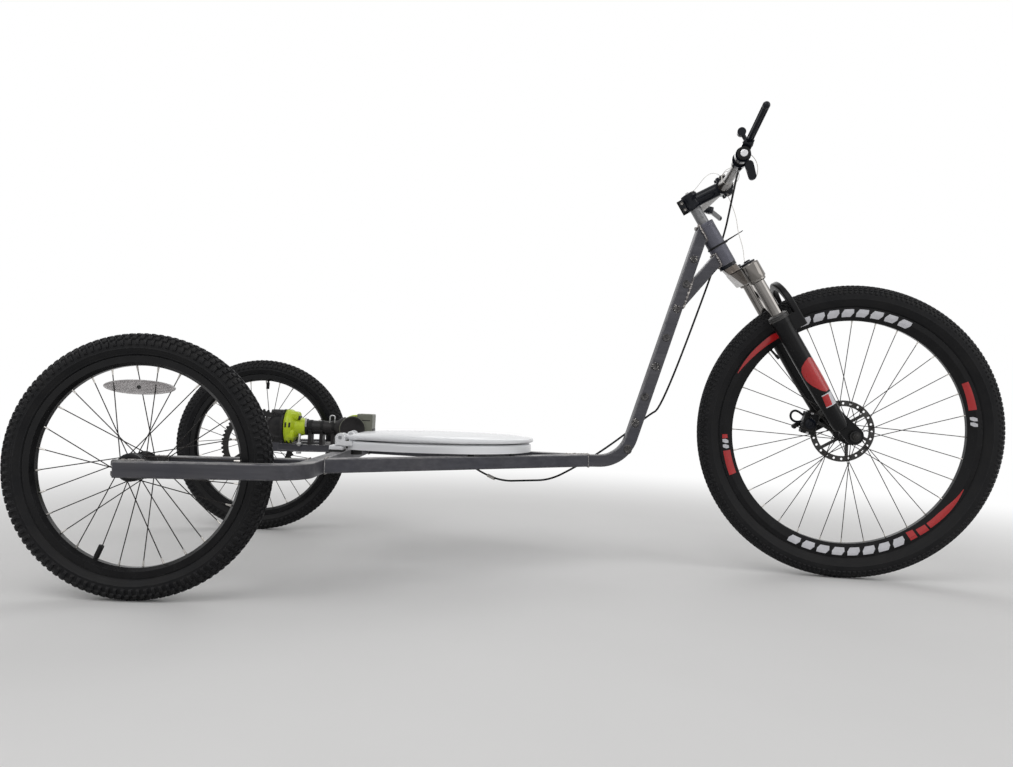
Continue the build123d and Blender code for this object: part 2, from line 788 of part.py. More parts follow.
drive_ring, ring_pitch_radius, ring_root = toothed_disc(ring_teeth, ring_thickness)
ring_inner = ring_root - ring_band + tooth_height
drive_ring -= disc_y(ring_inner, -ring_thickness - 1, 1)
for index in range(ring_arms):
    arm = box_between((ring_boss_radius / 2, -ring_thickness, -ring_arm_width / 2),
                      (ring_inner + tooth_height / 2, 0, ring_arm_width / 2))
    drive_ring += Rot(0, index * 360 / ring_arms, 0) * arm
boss_depth = ring_offset - ring_thickness / 2 - rear_flange_y - hub_flange_thickness / 2
drive_ring += disc_y(ring_boss_radius, -ring_thickness, boss_depth)
drive_ring -= disc_y(rear_hub_radius, -ring_thickness - 1, boss_depth + 1)
ring_y = half_track - ring_offset
save("drive_ring", drive_ring, Pos(0, ring_y + ring_thickness / 2, axle_z))

pinion, pinion_pitch_radius = toothed_disc(pinion_teeth, pinion_thickness)[:2]
mesh_distance = ring_pitch_radius + pinion_pitch_radius + mesh_clearance
elevation = radians(pinion_elevation)
pinion_x = mesh_distance * cos(elevation)
pinion_z = axle_z + mesh_distance * sin(elevation)
gap_share = 0.5 - (pinion_elevation * ring_teeth / 360) % 1
pinion_turn = 180 + pinion_elevation - gap_share * 360 / pinion_teeth
pinion = Rot(0, -pinion_turn, 0) * pinion
pinion = Pos(0, pinion_thickness / 2, 0) * pinion
shaft_start = tool_y + gear_head_width / 2 - ring_y + running_gap
pinion += disc_y(pinion_shaft_diameter / 2, shaft_start, bearing_width / 2)
save("drive_pinion", pinion, Pos(pinion_x, ring_y, pinion_z))

# Bearing block, standing on the left inner rail
block_half = bearing_block_width / 2
block_low_y = inner_rail_y - bearing_width / 2
block_high_y = inner_rail_y + bearing_width / 2
block = box_between((pinion_x - block_half, block_low_y, axle_z),
                    (pinion_x + block_half, block_high_y, pinion_z))
block += disc_y(block_half, block_low_y, block_high_y, pinion_x, pinion_z)
block -= disc_y(pinion_shaft_diameter / 2 + running_gap, block_low_y, block_high_y, pinion_x, pinion_z)
block -= frame_place * box_between((-rail_overhang, rail_face, -tube),
                                   (cross_rear_x, outer_rail_y, half_tube))
save("bearing_block", block)

# Motor unit: body along X, spindle along Y, each piece a row of stations from the rear
tool_z = pinion_z
head_rear_x = pinion_x + spindle_back - gear_head_length
tool_start_x = head_rear_x - nose_length


def tool_round(start_x, stations):
    """Round pieces end to end along X: each station is (length, start radius, end radius)."""
    shape = None
    for length, start_radius, end_radius in stations:
        ends = [(start_x, start_radius), (start_x + length, end_radius)]
        circles = [Plane(origin=(x, tool_y, tool_z), z_dir=(1, 0, 0)) * Circle(r) for x, r in ends]
        piece = loft(circles)
        shape = piece if shape is None else shape + piece
        start_x += length
    return shape, start_x


gear_nose, head_start_x = tool_round(tool_start_x, [(nose_length, nose_radius, nose_radius)])
gear_box = Box(gear_head_length, gear_head_width, 2 * gear_head_radius)
gear_box = fillet(gear_box.edges().filter_by(Axis.X), gear_head_corner)
gear_box = Pos(head_start_x + gear_head_length / 2, tool_y, tool_z) * gear_box
save("tool_gear_head", gear_nose + gear_box)
housing, grip_start_x = tool_round(head_start_x + gear_head_length, [
    (housing_length, housing_radius, housing_radius), (neck_length, neck_radius, neck_radius)])
save("tool_housing", housing)
grip, shoe_end_x = tool_round(grip_start_x, [
    (collar_length, collar_radius, collar_radius), (grip_length, grip_radius, grip_radius),
    (flare_length, grip_radius, flare_radius), (shoe_length, flare_radius, flare_radius)])
save("tool_grip", grip)
battery = Box(battery_length, battery_width, battery_height)
battery = fillet(battery.edges(), tube_corner)
battery_x = shoe_end_x - battery_overlap + battery_length / 2
battery = Pos(battery_x, tool_y, tool_z + battery_rise) * battery - grip
save("battery_pack", battery)

# Mounting bar, its saddles and the arms that carry it from the inner rail
bar_rear_x = pinion_x - spindle_back
bar_top = tool_z - housing_radius - running_gap
bar_low = bar_top - mount_bar_height
mount_bar = box_between((bar_rear_x, tool_y - mount_bar_width / 2, bar_low),
                        (bar_rear_x + mount_bar_length, tool_y + mount_bar_width / 2, bar_top))
for x in (bar_rear_x + arm_width, bar_rear_x + mount_bar_length - arm_width):
    mount_bar += box_between((x - arm_width / 2, tool_y, bar_low), (x + arm_width / 2, rail_face, bar_top))
save("motor_mount_bar", mount_bar)

grip_low_x = grip_start_x + collar_length
saddles = []
for share in (0.1, 0.5, 0.9):
    x = grip_low_x + share * grip_length
    saddle = box_between((x - saddle_length / 2, tool_y - grip_radius, bar_top),
                         (x + saddle_length / 2, tool_y + grip_radius, tool_z))
    saddles.append((saddle - grip).solids().sort_by(SortBy.VOLUME)[-1])
save("tool_saddles", Compound(children=saddles))

# Seat: ring, closed lid, hinges and bumpers, drawn on the frame's top plane


def seat_outline(length, width, rear_width):
    """Rear edge, two wide arcs and a round front."""
    radius = width / 2
    centre_x = length - radius
    drop = (width - rear_width) / 2
    arc_radius = (centre_x**2 + drop**2) / (2 * drop)
    middle = centre_x / 2
    middle_y = radius - arc_radius + sqrt(arc_radius**2 - (centre_x - middle)**2)
    left = ThreePointArc((0, rear_width / 2), (middle, middle_y), (centre_x, radius))
    front = ThreePointArc((centre_x, radius), (length, 0), (centre_x, -radius))
    right = ThreePointArc((centre_x, -radius), (middle, -middle_y), (0, -rear_width / 2))
    rear = Line((0, -rear_width / 2), (0, rear_width / 2))
    return make_face(left + front + right + rear)


seat_rear_x = cross_front_x + hinge_setback
ring_low = half_tube + bumper_height
ring_top = ring_low + ring_height
ring_shape = extrude(seat_outline(seat_length, seat_width, seat_rear_width), ring_height)
hole_end = ring_hole_start + ring_hole_length
ring_hole = Pos((ring_hole_start + hole_end) / 2, 0, 0) * extrude(
    SlotOverall(ring_hole_length, ring_hole_width), ring_height)
ring_shape -= ring_hole
ring_shape = fillet(ring_shape.faces().sort_by(Axis.Z)[-1].edges(), tube_corner * 2)
hinge_x = -hinge_setback - hinge_knuckle_radius
lid_low = ring_top + seat_gap
hinge_z = lid_low + lid_rim / 2


def hinge_ear(y_low, y_high, arm_low, arm_high, z):
    """Ear round the hinge pin, joined forward to the piece that it carries."""
    ear = disc_y(hinge_knuckle_radius, y_low, y_high, hinge_x, z)
    ear += box_between((hinge_x - hinge_knuckle_radius, y_low, arm_low),
                       (hinge_x + hinge_knuckle_radius, y_high, z))
    arm = box_between((hinge_x, y_low, arm_low), (hinge_reach, y_high, arm_high))
    return ear + arm - disc_y(hinge_pin_diameter / 2 + running_gap, y_low - 1, y_high + 1, hinge_x, z)


for side in (-1, 1):
    outer_y = side * (hinge_spread + hinge_knuckle_width / 2 + running_gap)
    low, high = sorted((outer_y, outer_y + side * hinge_ear_width))
    ring_shape += hinge_ear(low, high, ring_height / 2, ring_height, hinge_z - ring_low)
save("seat_ring", ring_shape, frame_place * Pos(seat_rear_x, 0, ring_low))

lid_length = seat_length + lid_overhang
lid_width = seat_width + 2 * lid_overhang
lid = extrude(seat_outline(lid_length, lid_width, seat_rear_width), lid_rim)
# Each dome section: height above the rim, inset at the sides and rear, inset at the front
for lower, upper in zip(((0, 0, 0), lid_dome[0]), lid_dome):
    lid += loft([
        Pos(side_inset, 0, lid_rim + height) * seat_outline(
            lid_length - side_inset - front_inset, lid_width - 2 * side_inset,
            seat_rear_width - 2 * side_inset)
        for height, side_inset, front_inset in (lower, upper)])
for side in (-1, 1):
    inner_y = side * (hinge_spread - hinge_knuckle_width / 2 - running_gap)
    low, high = sorted((inner_y, inner_y - side * hinge_ear_width))
    lid += hinge_ear(low, high, 0, lid_rim, hinge_z - lid_low)
save("seat_lid", lid, frame_place * Pos(seat_rear_x, 0, lid_low))

hinges = []
for side in (-1, 1):
    low_y = side * hinge_spread - hinge_knuckle_width / 2
    high_y = side * hinge_spread + hinge_knuckle_width / 2
    foot = box_between((hinge_x - hinge_foot_rear, low_y, half_tube),
                       (hinge_x + hinge_foot_front, high_y, half_tube + hinge_foot_height))
    post = box_between((hinge_x - hinge_knuckle_radius, low_y, half_tube),
                       (hinge_x + hinge_knuckle_radius, high_y, hinge_z))
    pin_reach = hinge_knuckle_width / 2 + running_gap + hinge_ear_width
    pin = disc_y(hinge_pin_diameter / 2, side * hinge_spread - pin_reach, side * hinge_spread + pin_reach,
                 hinge_x, hinge_z)
    hinges.append(foot + post + disc_y(hinge_knuckle_radius, low_y, high_y, hinge_x, hinge_z) + pin)
save("seat_hinges", Compound(children=hinges), frame_place * Pos(seat_rear_x, 0, 0))

bumpers = []
for x_share in (0.66, 0.88):
    x = seat_rear_x + x_share * seat_length
    y = (joint_x - x) * (rail_spread + half_tube) / (joint_x - cross_tube_x)
    for side in (-1, 1):
        bumpers.append(Pos(x, side * y, half_tube) * Cylinder(
            bumper_diameter / 2, bumper_height, align=(Align.CENTER, Align.CENTER, Align.MIN)))
for side in (-1, 1):
    bumpers.append(Pos(seat_rear_x + rear_bumper_x, side * rear_bumper_y, ring_low) * Cylinder(
        rear_bumper_diameter / 2, rear_bumper_height, align=(Align.CENTER, Align.CENTER, Align.MAX)))
save("seat_bumpers", Compound(children=bumpers), frame_place)

# Stem: steerer clamp, round body and bar clamp
stem_z = (stem_low + stem_high) / 2
bar_x = stem_length * cos(radians(stem_rise))
bar_z = stem_z + stem_length * sin(radians(stem_rise))
stem = ring_z(stem_clamp_radius, steerer_radius, stem_low, stem_high)
stem_body = rod((0, 0, stem_z), (bar_x, 0, bar_z), stem_diameter)
stem_body -= rod((0, 0, stem_low), (0, 0, stem_high), steerer_diameter)
bar_clamp = disc_y(bar_clamp_radius, -bar_clamp_width / 2, bar_clamp_width / 2, bar_x, bar_z)
stem = stem + stem_body + bar_clamp
stem -= disc_y(bar_bulge_diameter / 2, -bar_clamp_width, bar_clamp_width, bar_x, bar_z)
stem -= rod((0, 0, stem_low - 1), (0, 0, stem_high + 1), steerer_diameter)
save("stem", stem, steering_place)

# Handlebar: thick in the middle, tapering to the swept ends
bar_place = Pos(bar_x, 0, bar_z)
handlebar = disc_y(bar_bulge_diameter / 2, -bar_bulge_half, bar_bulge_half)
sweep_angle = radians(bar_sweep)
bar_tips = {
    side: Vector(-sin(sweep_angle) * bar_half_width, side * cos(sweep_angle) * bar_half_width, bar_end_rise)
    for side in (-1, 1)}
for side in (-1, 1):
    taper_end = Vector(0, side * (bar_bulge_half + bar_taper), 0)
    cone = loft([
        Plane(origin=(0, side * bar_bulge_half, 0), z_dir=(0, side, 0)) * Circle(bar_bulge_diameter / 2),
        Plane(origin=taper_end, z_dir=(0, side, 0)) * Circle(bar_diameter / 2)])
    outer = rod(taper_end, bar_tips[side], bar_diameter)
    joint_ball = Pos(*taper_end) * Sphere(bar_diameter / 2)
    handlebar = handlebar + cone + outer + joint_ball
save("handlebar", handlebar, steering_place * bar_place)

# Hand levers: a collar on the bar's end, a perch and a blade that reaches past the end
lever_pitches = {-1: 38, 1: -40}
for side, name in side_names.items():
    bar_end = bar_tips[side]
    bar_run = (bar_end - Vector(0, side * (bar_bulge_half + bar_taper), 0)).normalized()
    pitch = radians(lever_pitches[side])
    outward = Vector(cos(pitch), 0, sin(pitch))
    collar_start = bar_end - bar_run * (lever_inset + lever_collar_width)
    collar_end = bar_end - bar_run * lever_inset
    collar_middle = (collar_start + collar_end) * 0.5
    pivot = collar_middle + outward * lever_perch
    perch = rod(collar_middle, pivot, lever_perch_diameter)
    spread = radians(lever_spread)
    blade_axis = bar_run * cos(spread) + outward * sin(spread)
    blade_plane = Plane(origin=pivot, x_dir=outward.cross(bar_run), z_dir=blade_axis)
    blade_section = RectangleRounded(lever_blade_width, lever_blade_thickness, lever_blade_thickness / 3)
    blade = extrude(blade_plane * blade_section, lever_blade_length)
    lever = rod(collar_start, collar_end, 2 * lever_collar_radius) + perch + blade
    if side < 0:
        knob_middle = pivot + Vector(0, 0, knob_rise)
        lever += rod(pivot, knob_middle, lever_perch_diameter / 2)
        half_knob = bar_run * knob_width / 2
        lever += rod(knob_middle - half_knob, knob_middle + half_knob, 2 * knob_radius)
    lever -= rod(collar_start - bar_run, collar_end + bar_run, bar_diameter)
    save(f"{name}_lever", lever, steering_place * bar_place)

# Throttle: clamp round the bar with a boss for the cable and a thumb paddle outside it
bar_root = Vector(bar_x, -bar_bulge_half - bar_taper, bar_z)
bar_tip = Vector(bar_x, 0, bar_z) + bar_tips[-1]
bar_run = (bar_tip - bar_root).normalized()
clamp_start = bar_root + bar_run * (throttle_reach - bar_bulge_half - bar_taper)
clamp_end = clamp_start + bar_run * throttle_width
boss_start = Vector(*cable_start)
throttle = rod(clamp_start, clamp_end, 2 * throttle_radius)
throttle += rod(boss_start, boss_start + bar_run * (boss_length + throttle_width / 2), boss_diameter)
with BuildSketch() as paddle_outline:
    for x, z, radius in (paddle_root, paddle_tip):
        with Locations((x, z)):
            Circle(radius)
    make_hull()
paddle = Pos(0, clamp_end.Y, 0) * Rot(90, 0, 0) * extrude(paddle_outline.sketch, paddle_width)
throttle += paddle
throttle -= rod(bar_root, bar_tip, bar_diameter)
save("throttle_lever", throttle, steering_place)


def cable_tube(name, points, diameter):
    """Round cable along straight runs joined by arcs, each as large as the runs beside it allow."""
    spots = [Vector(*point) for point in points]
    runs = [after - before for before, after in zip(spots, spots[1:])]
    radii = []
    for before, after in zip(runs, runs[1:]):
        half_turn = radians(before.get_angle(after)) / 2
        radii.append(arc_share * min(before.length, after.length) / tan(half_turn))
    path = FilletPolyline(*spots, radius=radii)
    tube = sweep(Plane(origin=path @ 0, z_dir=path % 0) * Circle(diameter / 2), path=path)
    share = tube.volume / (pi * diameter**2 / 4 * path.length)
    print(name, "length", round(path.length), "volume share", round(share, 3))
    print("radii", [round(radius) for radius in radii])
    return tube


# Upper cable in the steered frame, down to the point where it is tied to the head tube
head_points = [(steering_axis.location * Pos(*point)).position for point in head_route]
tie_point = (steering_place.inverse() * Pos(*head_points[0])).position
tie_run = (tie_point - Vector(*upper_route[-1])).normalized()
upper_points = [cable_start, *upper_route, tie_point - tie_run * tie_gap]
upper_cable = cable_tube("throttle_cable_upper", upper_points, cable_diameter) - throttle
save("throttle_cable_upper", upper_cable.solids().sort_by(SortBy.VOLUME)[-1], steering_place)

# Lower cable in the frame: head tube, past the riser, below the rails, into the left rail
riser_ahead = Vector(sin(climb), 0, -cos(climb))
riser_points = [
    riser_corner + riser_line * up + riser_ahead * ahead + Vector(0, y, 0) for up, y, ahead in riser_route]
rail_points = [(frame_place * Pos(joint_x + ahead, y, height)).position for ahead, y, height in rail_route]
lower_points = head_points + riser_points + rail_points
left_rail = frame_place * rail_core
lower_cable = cable_tube("throttle_cable", lower_points, cable_diameter) - left_rail
lower_cable = lower_cable.solids().sort_by(SortBy.VOLUME)[-1]
save("throttle_cable", lower_cable)

# Cable adjuster on the rising run, and the grommet where the cable enters the rail
low_point, high_point = rail_points[-3:-1]
adjuster_run = high_point - low_point
adjuster = rod(low_point + adjuster_run * adjuster_start, low_point + adjuster_run * adjuster_end,
               adjuster_diameter) - lower_cable
entry_run = rail_route[-1][2] - rail_route[-2][2]
entry_share = (-half_tube - rail_route[-2][2]) / entry_run
entry_x = rail_route[-2][0] + entry_share * (rail_route[-1][0] - rail_route[-2][0])
entry_y = rail_route[-2][1] + entry_share * (rail_route[-1][1] - rail_route[-2][1])
grommet = frame_place * Pos(joint_x + entry_x, entry_y, -half_tube) * Cylinder(
    grommet_diameter / 2, grommet_height, align=(Align.CENTER, Align.CENTER, Align.MAX)) - lower_cable
save("cable_adjuster", Compound(children=[adjuster, grommet]))

# Bare brake wire from the stem's bar clamp to the fork crown
wire = cable_tube("brake_wire", wire_route, wire_diameter)
wire -= disc_y(bar_clamp_radius, -bar_clamp_width / 2, bar_clamp_width / 2, bar_x, bar_z)
wire -= crown
save("brake_wire", wire.solids().sort_by(SortBy.VOLUME)[-1], steering_place)
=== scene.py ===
# %% [markdown]
# A home-built recumbent tricycle, dressed for its portrait. The construction comes from a packed
# CAD model: every tube, wheel and lever already lies at its real place and size, in metres, with
# +X forward, +Y to the rider's left and +Z up. This lesson adds what the eye expects on top of
# that: tread, weld beads, straps, bolts, decals, and a finish for each surface.

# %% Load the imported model
import bpy
import json
from math import ceil, cos, pi, radians, sin, sqrt
from mathutils import Matrix, Vector
from random import Random


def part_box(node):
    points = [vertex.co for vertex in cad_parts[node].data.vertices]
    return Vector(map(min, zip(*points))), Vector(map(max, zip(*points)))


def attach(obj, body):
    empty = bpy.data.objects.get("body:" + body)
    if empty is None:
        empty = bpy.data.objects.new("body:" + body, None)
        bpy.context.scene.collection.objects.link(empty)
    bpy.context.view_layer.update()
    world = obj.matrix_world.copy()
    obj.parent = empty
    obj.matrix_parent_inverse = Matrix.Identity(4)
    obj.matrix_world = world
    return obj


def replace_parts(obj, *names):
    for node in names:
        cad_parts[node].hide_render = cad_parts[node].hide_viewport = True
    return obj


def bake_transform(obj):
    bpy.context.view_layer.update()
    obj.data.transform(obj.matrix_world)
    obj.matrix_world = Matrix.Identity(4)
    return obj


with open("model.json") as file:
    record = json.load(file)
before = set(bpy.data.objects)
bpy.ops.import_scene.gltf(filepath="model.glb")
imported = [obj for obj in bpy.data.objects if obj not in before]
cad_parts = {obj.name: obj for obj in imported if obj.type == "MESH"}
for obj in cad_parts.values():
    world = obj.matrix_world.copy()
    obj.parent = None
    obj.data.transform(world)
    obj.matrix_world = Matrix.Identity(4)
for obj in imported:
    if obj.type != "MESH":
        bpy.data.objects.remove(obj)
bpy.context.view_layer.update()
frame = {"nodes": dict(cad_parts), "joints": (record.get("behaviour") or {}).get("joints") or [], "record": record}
nodes = frame["nodes"]
joints = {joint["name"]: joint for joint in frame["joints"]}
MM = 0.001
print("CAD nodes:", len(nodes), "joints:", len(joints))


def mm(x, y, z):
    """A vector whose parts are given in millimetres."""
    return Vector((x, y, z)) * MM


def metres(outline):
    """An outline of pairs in millimetres, made metres."""
    return [(across * MM, along * MM) for across, along in outline]

# %% [markdown]
# Three places are read from the joints, because most small parts are placed from them: the
# steering frame, whose Z runs up the head tube and whose Y is the front axle, and the two rear
# axles. The steered parts lean and turn with the fork, so they are laid out in that frame.

# %% Places taken from the joints
FRAME_RISE = radians(1.2)


def frame_from(origin, y_axis, z_axis):
    """A matrix whose Z is z_axis and whose Y is y_axis, at origin."""
    z = Vector(z_axis).normalized()
    y = Vector(y_axis).normalized()
    x = y.cross(z).normalized()
    matrix = Matrix((x, z.cross(x), z)).transposed().to_4x4()
    matrix.translation = Vector(origin)
    return matrix


steer_at = joints["steering"]["pos_m"]
steer_axis = joints["steering"]["axis"]
front_axle_at = Vector(joints["front_wheel_spin"]["pos_m"])
front_axle_dir = Vector(joints["front_wheel_spin"]["axis"])
fork = frame_from(steer_at, front_axle_dir, steer_axis)
front_wheel = frame_from(front_axle_at, front_axle_dir, steer_axis)
right_wheel = Matrix.Translation(Vector(joints["right_wheel_spin"]["pos_m"]))
left_wheel = Matrix.Translation(Vector(joints["left_wheel_spin"]["pos_m"]))
axle_z = right_wheel.translation.z
rear_axle_x = right_wheel.translation.x
deck = Matrix.Translation((rear_axle_x, 0, axle_z)) @ Matrix.Rotation(-FRAME_RISE, 4, "Y")
axle_in_fork = fork.inverted() @ front_axle_at
print("front axle in the fork's frame:", [round(v / MM, 1) for v in axle_in_fork])

# %% [markdown]
# The camera stands where the photo was taken from: low, on the right side, almost square to the
# tricycle. Its place, turn and focal length were worked out from the outlines of the three
# wheels, so that a circle of known size falls where its outline falls in the picture.

# %% Camera
PICTURE_WIDTH = 1013
FOCAL_PIXELS = 771.84
SENSOR = 36
CAMERA_PLACE = (0.6339 + rear_axle_x, -1.9367, 0.3961)
YAW, PITCH, ROLL = radians(2.32), radians(1.82), radians(2.55)


def camera_matrix():
    """Camera axes from yaw towards +X, pitch upwards and roll."""
    ahead = Vector((sin(YAW) * cos(PITCH), cos(YAW) * cos(PITCH), sin(PITCH)))
    level = Vector((cos(YAW), -sin(YAW), 0))
    above = level.cross(ahead)
    right = level * cos(ROLL) + above * sin(ROLL)
    up = above * cos(ROLL) - level * sin(ROLL)
    matrix = Matrix((right, up, -ahead)).transposed().to_4x4()
    matrix.translation = Vector(CAMERA_PLACE)
    return matrix


camera_data = bpy.data.cameras.new("camera")
camera_data.sensor_width = SENSOR
camera_data.lens = FOCAL_PIXELS * SENSOR / PICTURE_WIDTH
camera = bpy.data.objects.new("camera", camera_data)
camera.matrix_world = camera_matrix()
bpy.context.scene.collection.objects.link(camera)
bpy.context.scene.camera = camera
print("lens", round(camera_data.lens, 2), "mm")

# %% [markdown]
# The studio is a pale floor and a bright world. Light Path tells the background apart from the
# light: the camera sees white, while the surfaces are lit by a soft, slightly weaker sky. Two
# large lamps give the tubes a highlight along their top edges and a gentle side light.

# %% Studio
FLOOR_SIZE = 30
SKY_SEEN = 1.0
SKY_LIGHT = 0.42


def seen_directly(tree):
    """1 for rays from the camera, from a mirror or through glass, 0 for light."""
    path = tree.nodes.new("ShaderNodeLightPath")
    ray = path.outputs["Is Camera Ray"]
    for kind in ("Is Glossy Ray", "Is Transmission Ray"):
        either = tree.nodes.new("ShaderNodeMath")
        either.operation = "MAXIMUM"
        tree.links.new(ray, either.inputs[0])
        tree.links.new(path.outputs[kind], either.inputs[1])
        ray = either.outputs[0]
    return ray


def studio_world():
    """White to the camera and to mirrors, softer as light."""
    world = bpy.data.worlds.new("studio")
    world.use_nodes = True
    bpy.context.scene.world = world
    tree = world.node_tree
    background = tree.nodes["Background"]
    background.inputs["Color"].default_value = (1, 1, 1, 1)
    strength = tree.nodes.new("ShaderNodeMapRange")
    strength.inputs["To Min"].default_value = SKY_LIGHT
    strength.inputs["To Max"].default_value = SKY_SEEN
    tree.links.new(seen_directly(tree), strength.inputs["Value"])
    tree.links.new(strength.outputs["Result"], background.inputs["Strength"])


def soft_lamp(name, place, target, size, watts):
    """A square area lamp that looks at a point."""
    light = bpy.data.lights.new(name, "AREA")
    light.size = size
    light.energy = watts
    lamp = bpy.data.objects.new(name, light)
    lamp.location = Vector(place)
    lamp.rotation_euler = (Vector(target) - Vector(place)).to_track_quat("-Z", "Y").to_euler()
    bpy.context.scene.collection.objects.link(lamp)


bpy.context.scene.view_settings.view_transform = "Standard"
studio_world()
soft_lamp("key", (-1.6, -2.6, 3.2), (0, 0, 0.3), 2.6, 48)
soft_lamp("fill", (2.8, -1.8, 2.0), (0.3, 0, 0.3), 2.2, 26)
soft_lamp("rim", (0.4, 2.6, 2.6), (0, 0, 0.3), 2.4, 22)

bpy.ops.object.select_all(action="DESELECT")
bpy.ops.mesh.primitive_plane_add(size=FLOOR_SIZE, location=(0, 0, 0))
floor = bpy.context.active_object
floor.name = "floor"
print("studio ready")

# %% [markdown]
# Helpers for modelling. Each one is a small habit of working by hand: start with nothing
# selected, make a primitive, go into edit mode, pick faces by where they are, and come back.
# A finished piece keeps its place in its mesh, with its object at the origin.

# %% Modelling helpers
def only(piece):
    """Select one object and make it active."""
    bpy.ops.object.select_all(action="DESELECT")
    piece.select_set(True)
    bpy.context.view_layer.objects.active = piece
    return piece


def started(name):
    """The primitive that was just added, under its own name."""
    piece = bpy.context.active_object
    piece.name = name
    piece.data.name = name
    return piece


def block(name, size, place=(0, 0, 0)):
    """A cube scaled to a block, its scale applied."""
    bpy.ops.object.select_all(action="DESELECT")
    bpy.ops.mesh.primitive_cube_add(size=1, location=place)
    piece = started(name)
    piece.scale = size
    bpy.ops.object.transform_apply(location=True, rotation=True, scale=True)
    return piece


def drum(name, radius, depth, place=(0, 0, 0), axis="Z", sides=32, top_radius=None):
    """A cylinder or cone along an axis, centred on a place."""
    turn = {"X": (0, pi / 2, 0), "Y": (-pi / 2, 0, 0), "Z": (0, 0, 0)}[axis]
    bpy.ops.object.select_all(action="DESELECT")
    bpy.ops.mesh.primitive_cone_add(
        vertices=sides, radius1=radius, radius2=radius if top_radius is None else top_radius,
        depth=depth, location=place, rotation=turn)
    piece = started(name)
    bpy.ops.object.transform_apply(location=True, rotation=True, scale=True)
    return piece


def placed(piece, matrix):
    """Carry a piece to its place and keep that place in its mesh."""
    piece.data.transform(matrix)
    if matrix.determinant() < 0:
        piece.data.flip_normals()
    return piece


def pick(piece, wanted):
    """In edit mode, select the faces whose centre and normal pass the test."""
    only(piece)
    bpy.ops.object.mode_set(mode="EDIT")
    bpy.ops.mesh.select_mode(type="FACE")
    bpy.ops.mesh.select_all(action="DESELECT")
    bpy.ops.object.mode_set(mode="OBJECT")
    for face in piece.data.polygons:
        face.select = bool(wanted(face.center, face.normal))
    bpy.ops.object.mode_set(mode="EDIT")


def done():
    """Leave edit mode."""
    bpy.ops.object.mode_set(mode="OBJECT")


def open_all(piece):
    """Go into edit mode with everything selected."""
    only(piece)
    bpy.ops.object.mode_set(mode="EDIT")
    bpy.ops.mesh.select_all(action="SELECT")


def walled(piece, thickness, offset=-1):
    """Give a flat patch a thin wall with its normals outwards."""
    only(piece)
    wall = piece.modifiers.new("wall", "SOLIDIFY")
    wall.thickness = thickness
    wall.offset = offset
    bpy.ops.object.modifier_apply(modifier=wall.name)
    open_all(piece)
    bpy.ops.mesh.normals_make_consistent(inside=False)
    done()
    return piece


def merged_copy(name, node):
    """A copy of a CAD mesh with its doubled vertices merged, still in edit mode."""
    piece = bpy.data.objects.new(name, nodes[node].data.copy())
    bpy.context.scene.collection.objects.link(piece)
    open_all(piece)
    bpy.ops.mesh.remove_doubles(threshold=0.00002)
    return piece


def rounded(piece, width, segments=2, angle=30):
    """Bevel the sharp edges with a modifier and apply it."""
    only(piece)
    bevel = piece.modifiers.new("bevel", "BEVEL")
    bevel.width = width
    bevel.segments = segments
    bevel.limit_method = "ANGLE"
    bevel.angle_limit = radians(angle)
    bpy.ops.object.modifier_apply(modifier=bevel.name)
    return smooth(piece)


def smooth(piece, angle=40):
    """Smooth shading, split at the sharp edges."""
    only(piece)
    bpy.ops.object.shade_smooth_by_angle(angle=radians(angle))
    return piece


def joined(name, pieces):
    """One object from several, each with its own mesh until then."""
    bpy.ops.object.select_all(action="DESELECT")
    for piece in pieces:
        piece.select_set(True)
    bpy.context.view_layer.objects.active = pieces[0]
    if len(pieces) > 1:
        bpy.ops.object.join()
    return started(name)


def spun(name, outline, steps, matrix, closed=True):
    """Spin an outline of (radius, along) points about the local Y axis, as on a lathe."""
    mesh = bpy.data.meshes.new(name)
    points = [(radius, along, 0) for radius, along in outline]
    edges = [(i, i + 1) for i in range(len(points) - 1)]
    if closed:
        edges.append((len(points) - 1, 0))
    mesh.from_pydata(points, edges, [])
    piece = bpy.data.objects.new(name, mesh)
    bpy.context.scene.collection.objects.link(piece)
    open_all(piece)
    bpy.ops.mesh.spin(steps=steps, angle=2 * pi, center=(0, 0, 0), axis=(0, 1, 0))
    bpy.ops.mesh.select_all(action="SELECT")
    bpy.ops.mesh.remove_doubles(threshold=0.00001)
    bpy.ops.mesh.normals_make_consistent(inside=False)
    done()
    return smooth(placed(piece, matrix))


def copies(name, model, matrices):
    """Many copies of one small model, joined in one mesh; the model itself goes."""
    source = model.data
    spots = [vertex.co.copy() for vertex in source.vertices]
    faces = [tuple(face.vertices) for face in source.polygons]
    points, polygons = [], []
    for matrix in matrices:
        base = len(points)
        points += [matrix @ spot for spot in spots]
        polygons += [tuple(base + i for i in face) for face in faces]
    mesh = bpy.data.meshes.new(name)
    mesh.from_pydata(points, [], polygons)
    mesh.update()
    piece = bpy.data.objects.new(name, mesh)
    bpy.context.scene.collection.objects.link(piece)
    bpy.data.objects.remove(model)
    return smooth(piece)


def piped(name, points, radius, matrix=Matrix(), order=3, sides=3, closed=False):
    """A round wire or tube along a smooth curve, made a mesh."""
    curve = bpy.data.curves.new(name, "CURVE")
    curve.dimensions = "3D"
    curve.bevel_depth = radius
    curve.bevel_resolution = sides
    curve.resolution_u = 8
    curve.use_fill_caps = not closed
    line = curve.splines.new("NURBS")
    line.points.add(len(points) - 1)
    for spot, place in zip(line.points, points):
        spot.co = (*place, 1)
    line.order_u = order
    line.use_endpoint_u = not closed
    line.use_cyclic_u = closed
    piece = bpy.data.objects.new(name, curve)
    bpy.context.scene.collection.objects.link(piece)
    only(piece)
    bpy.ops.object.convert(target="MESH")
    return smooth(placed(piece, matrix), 60)


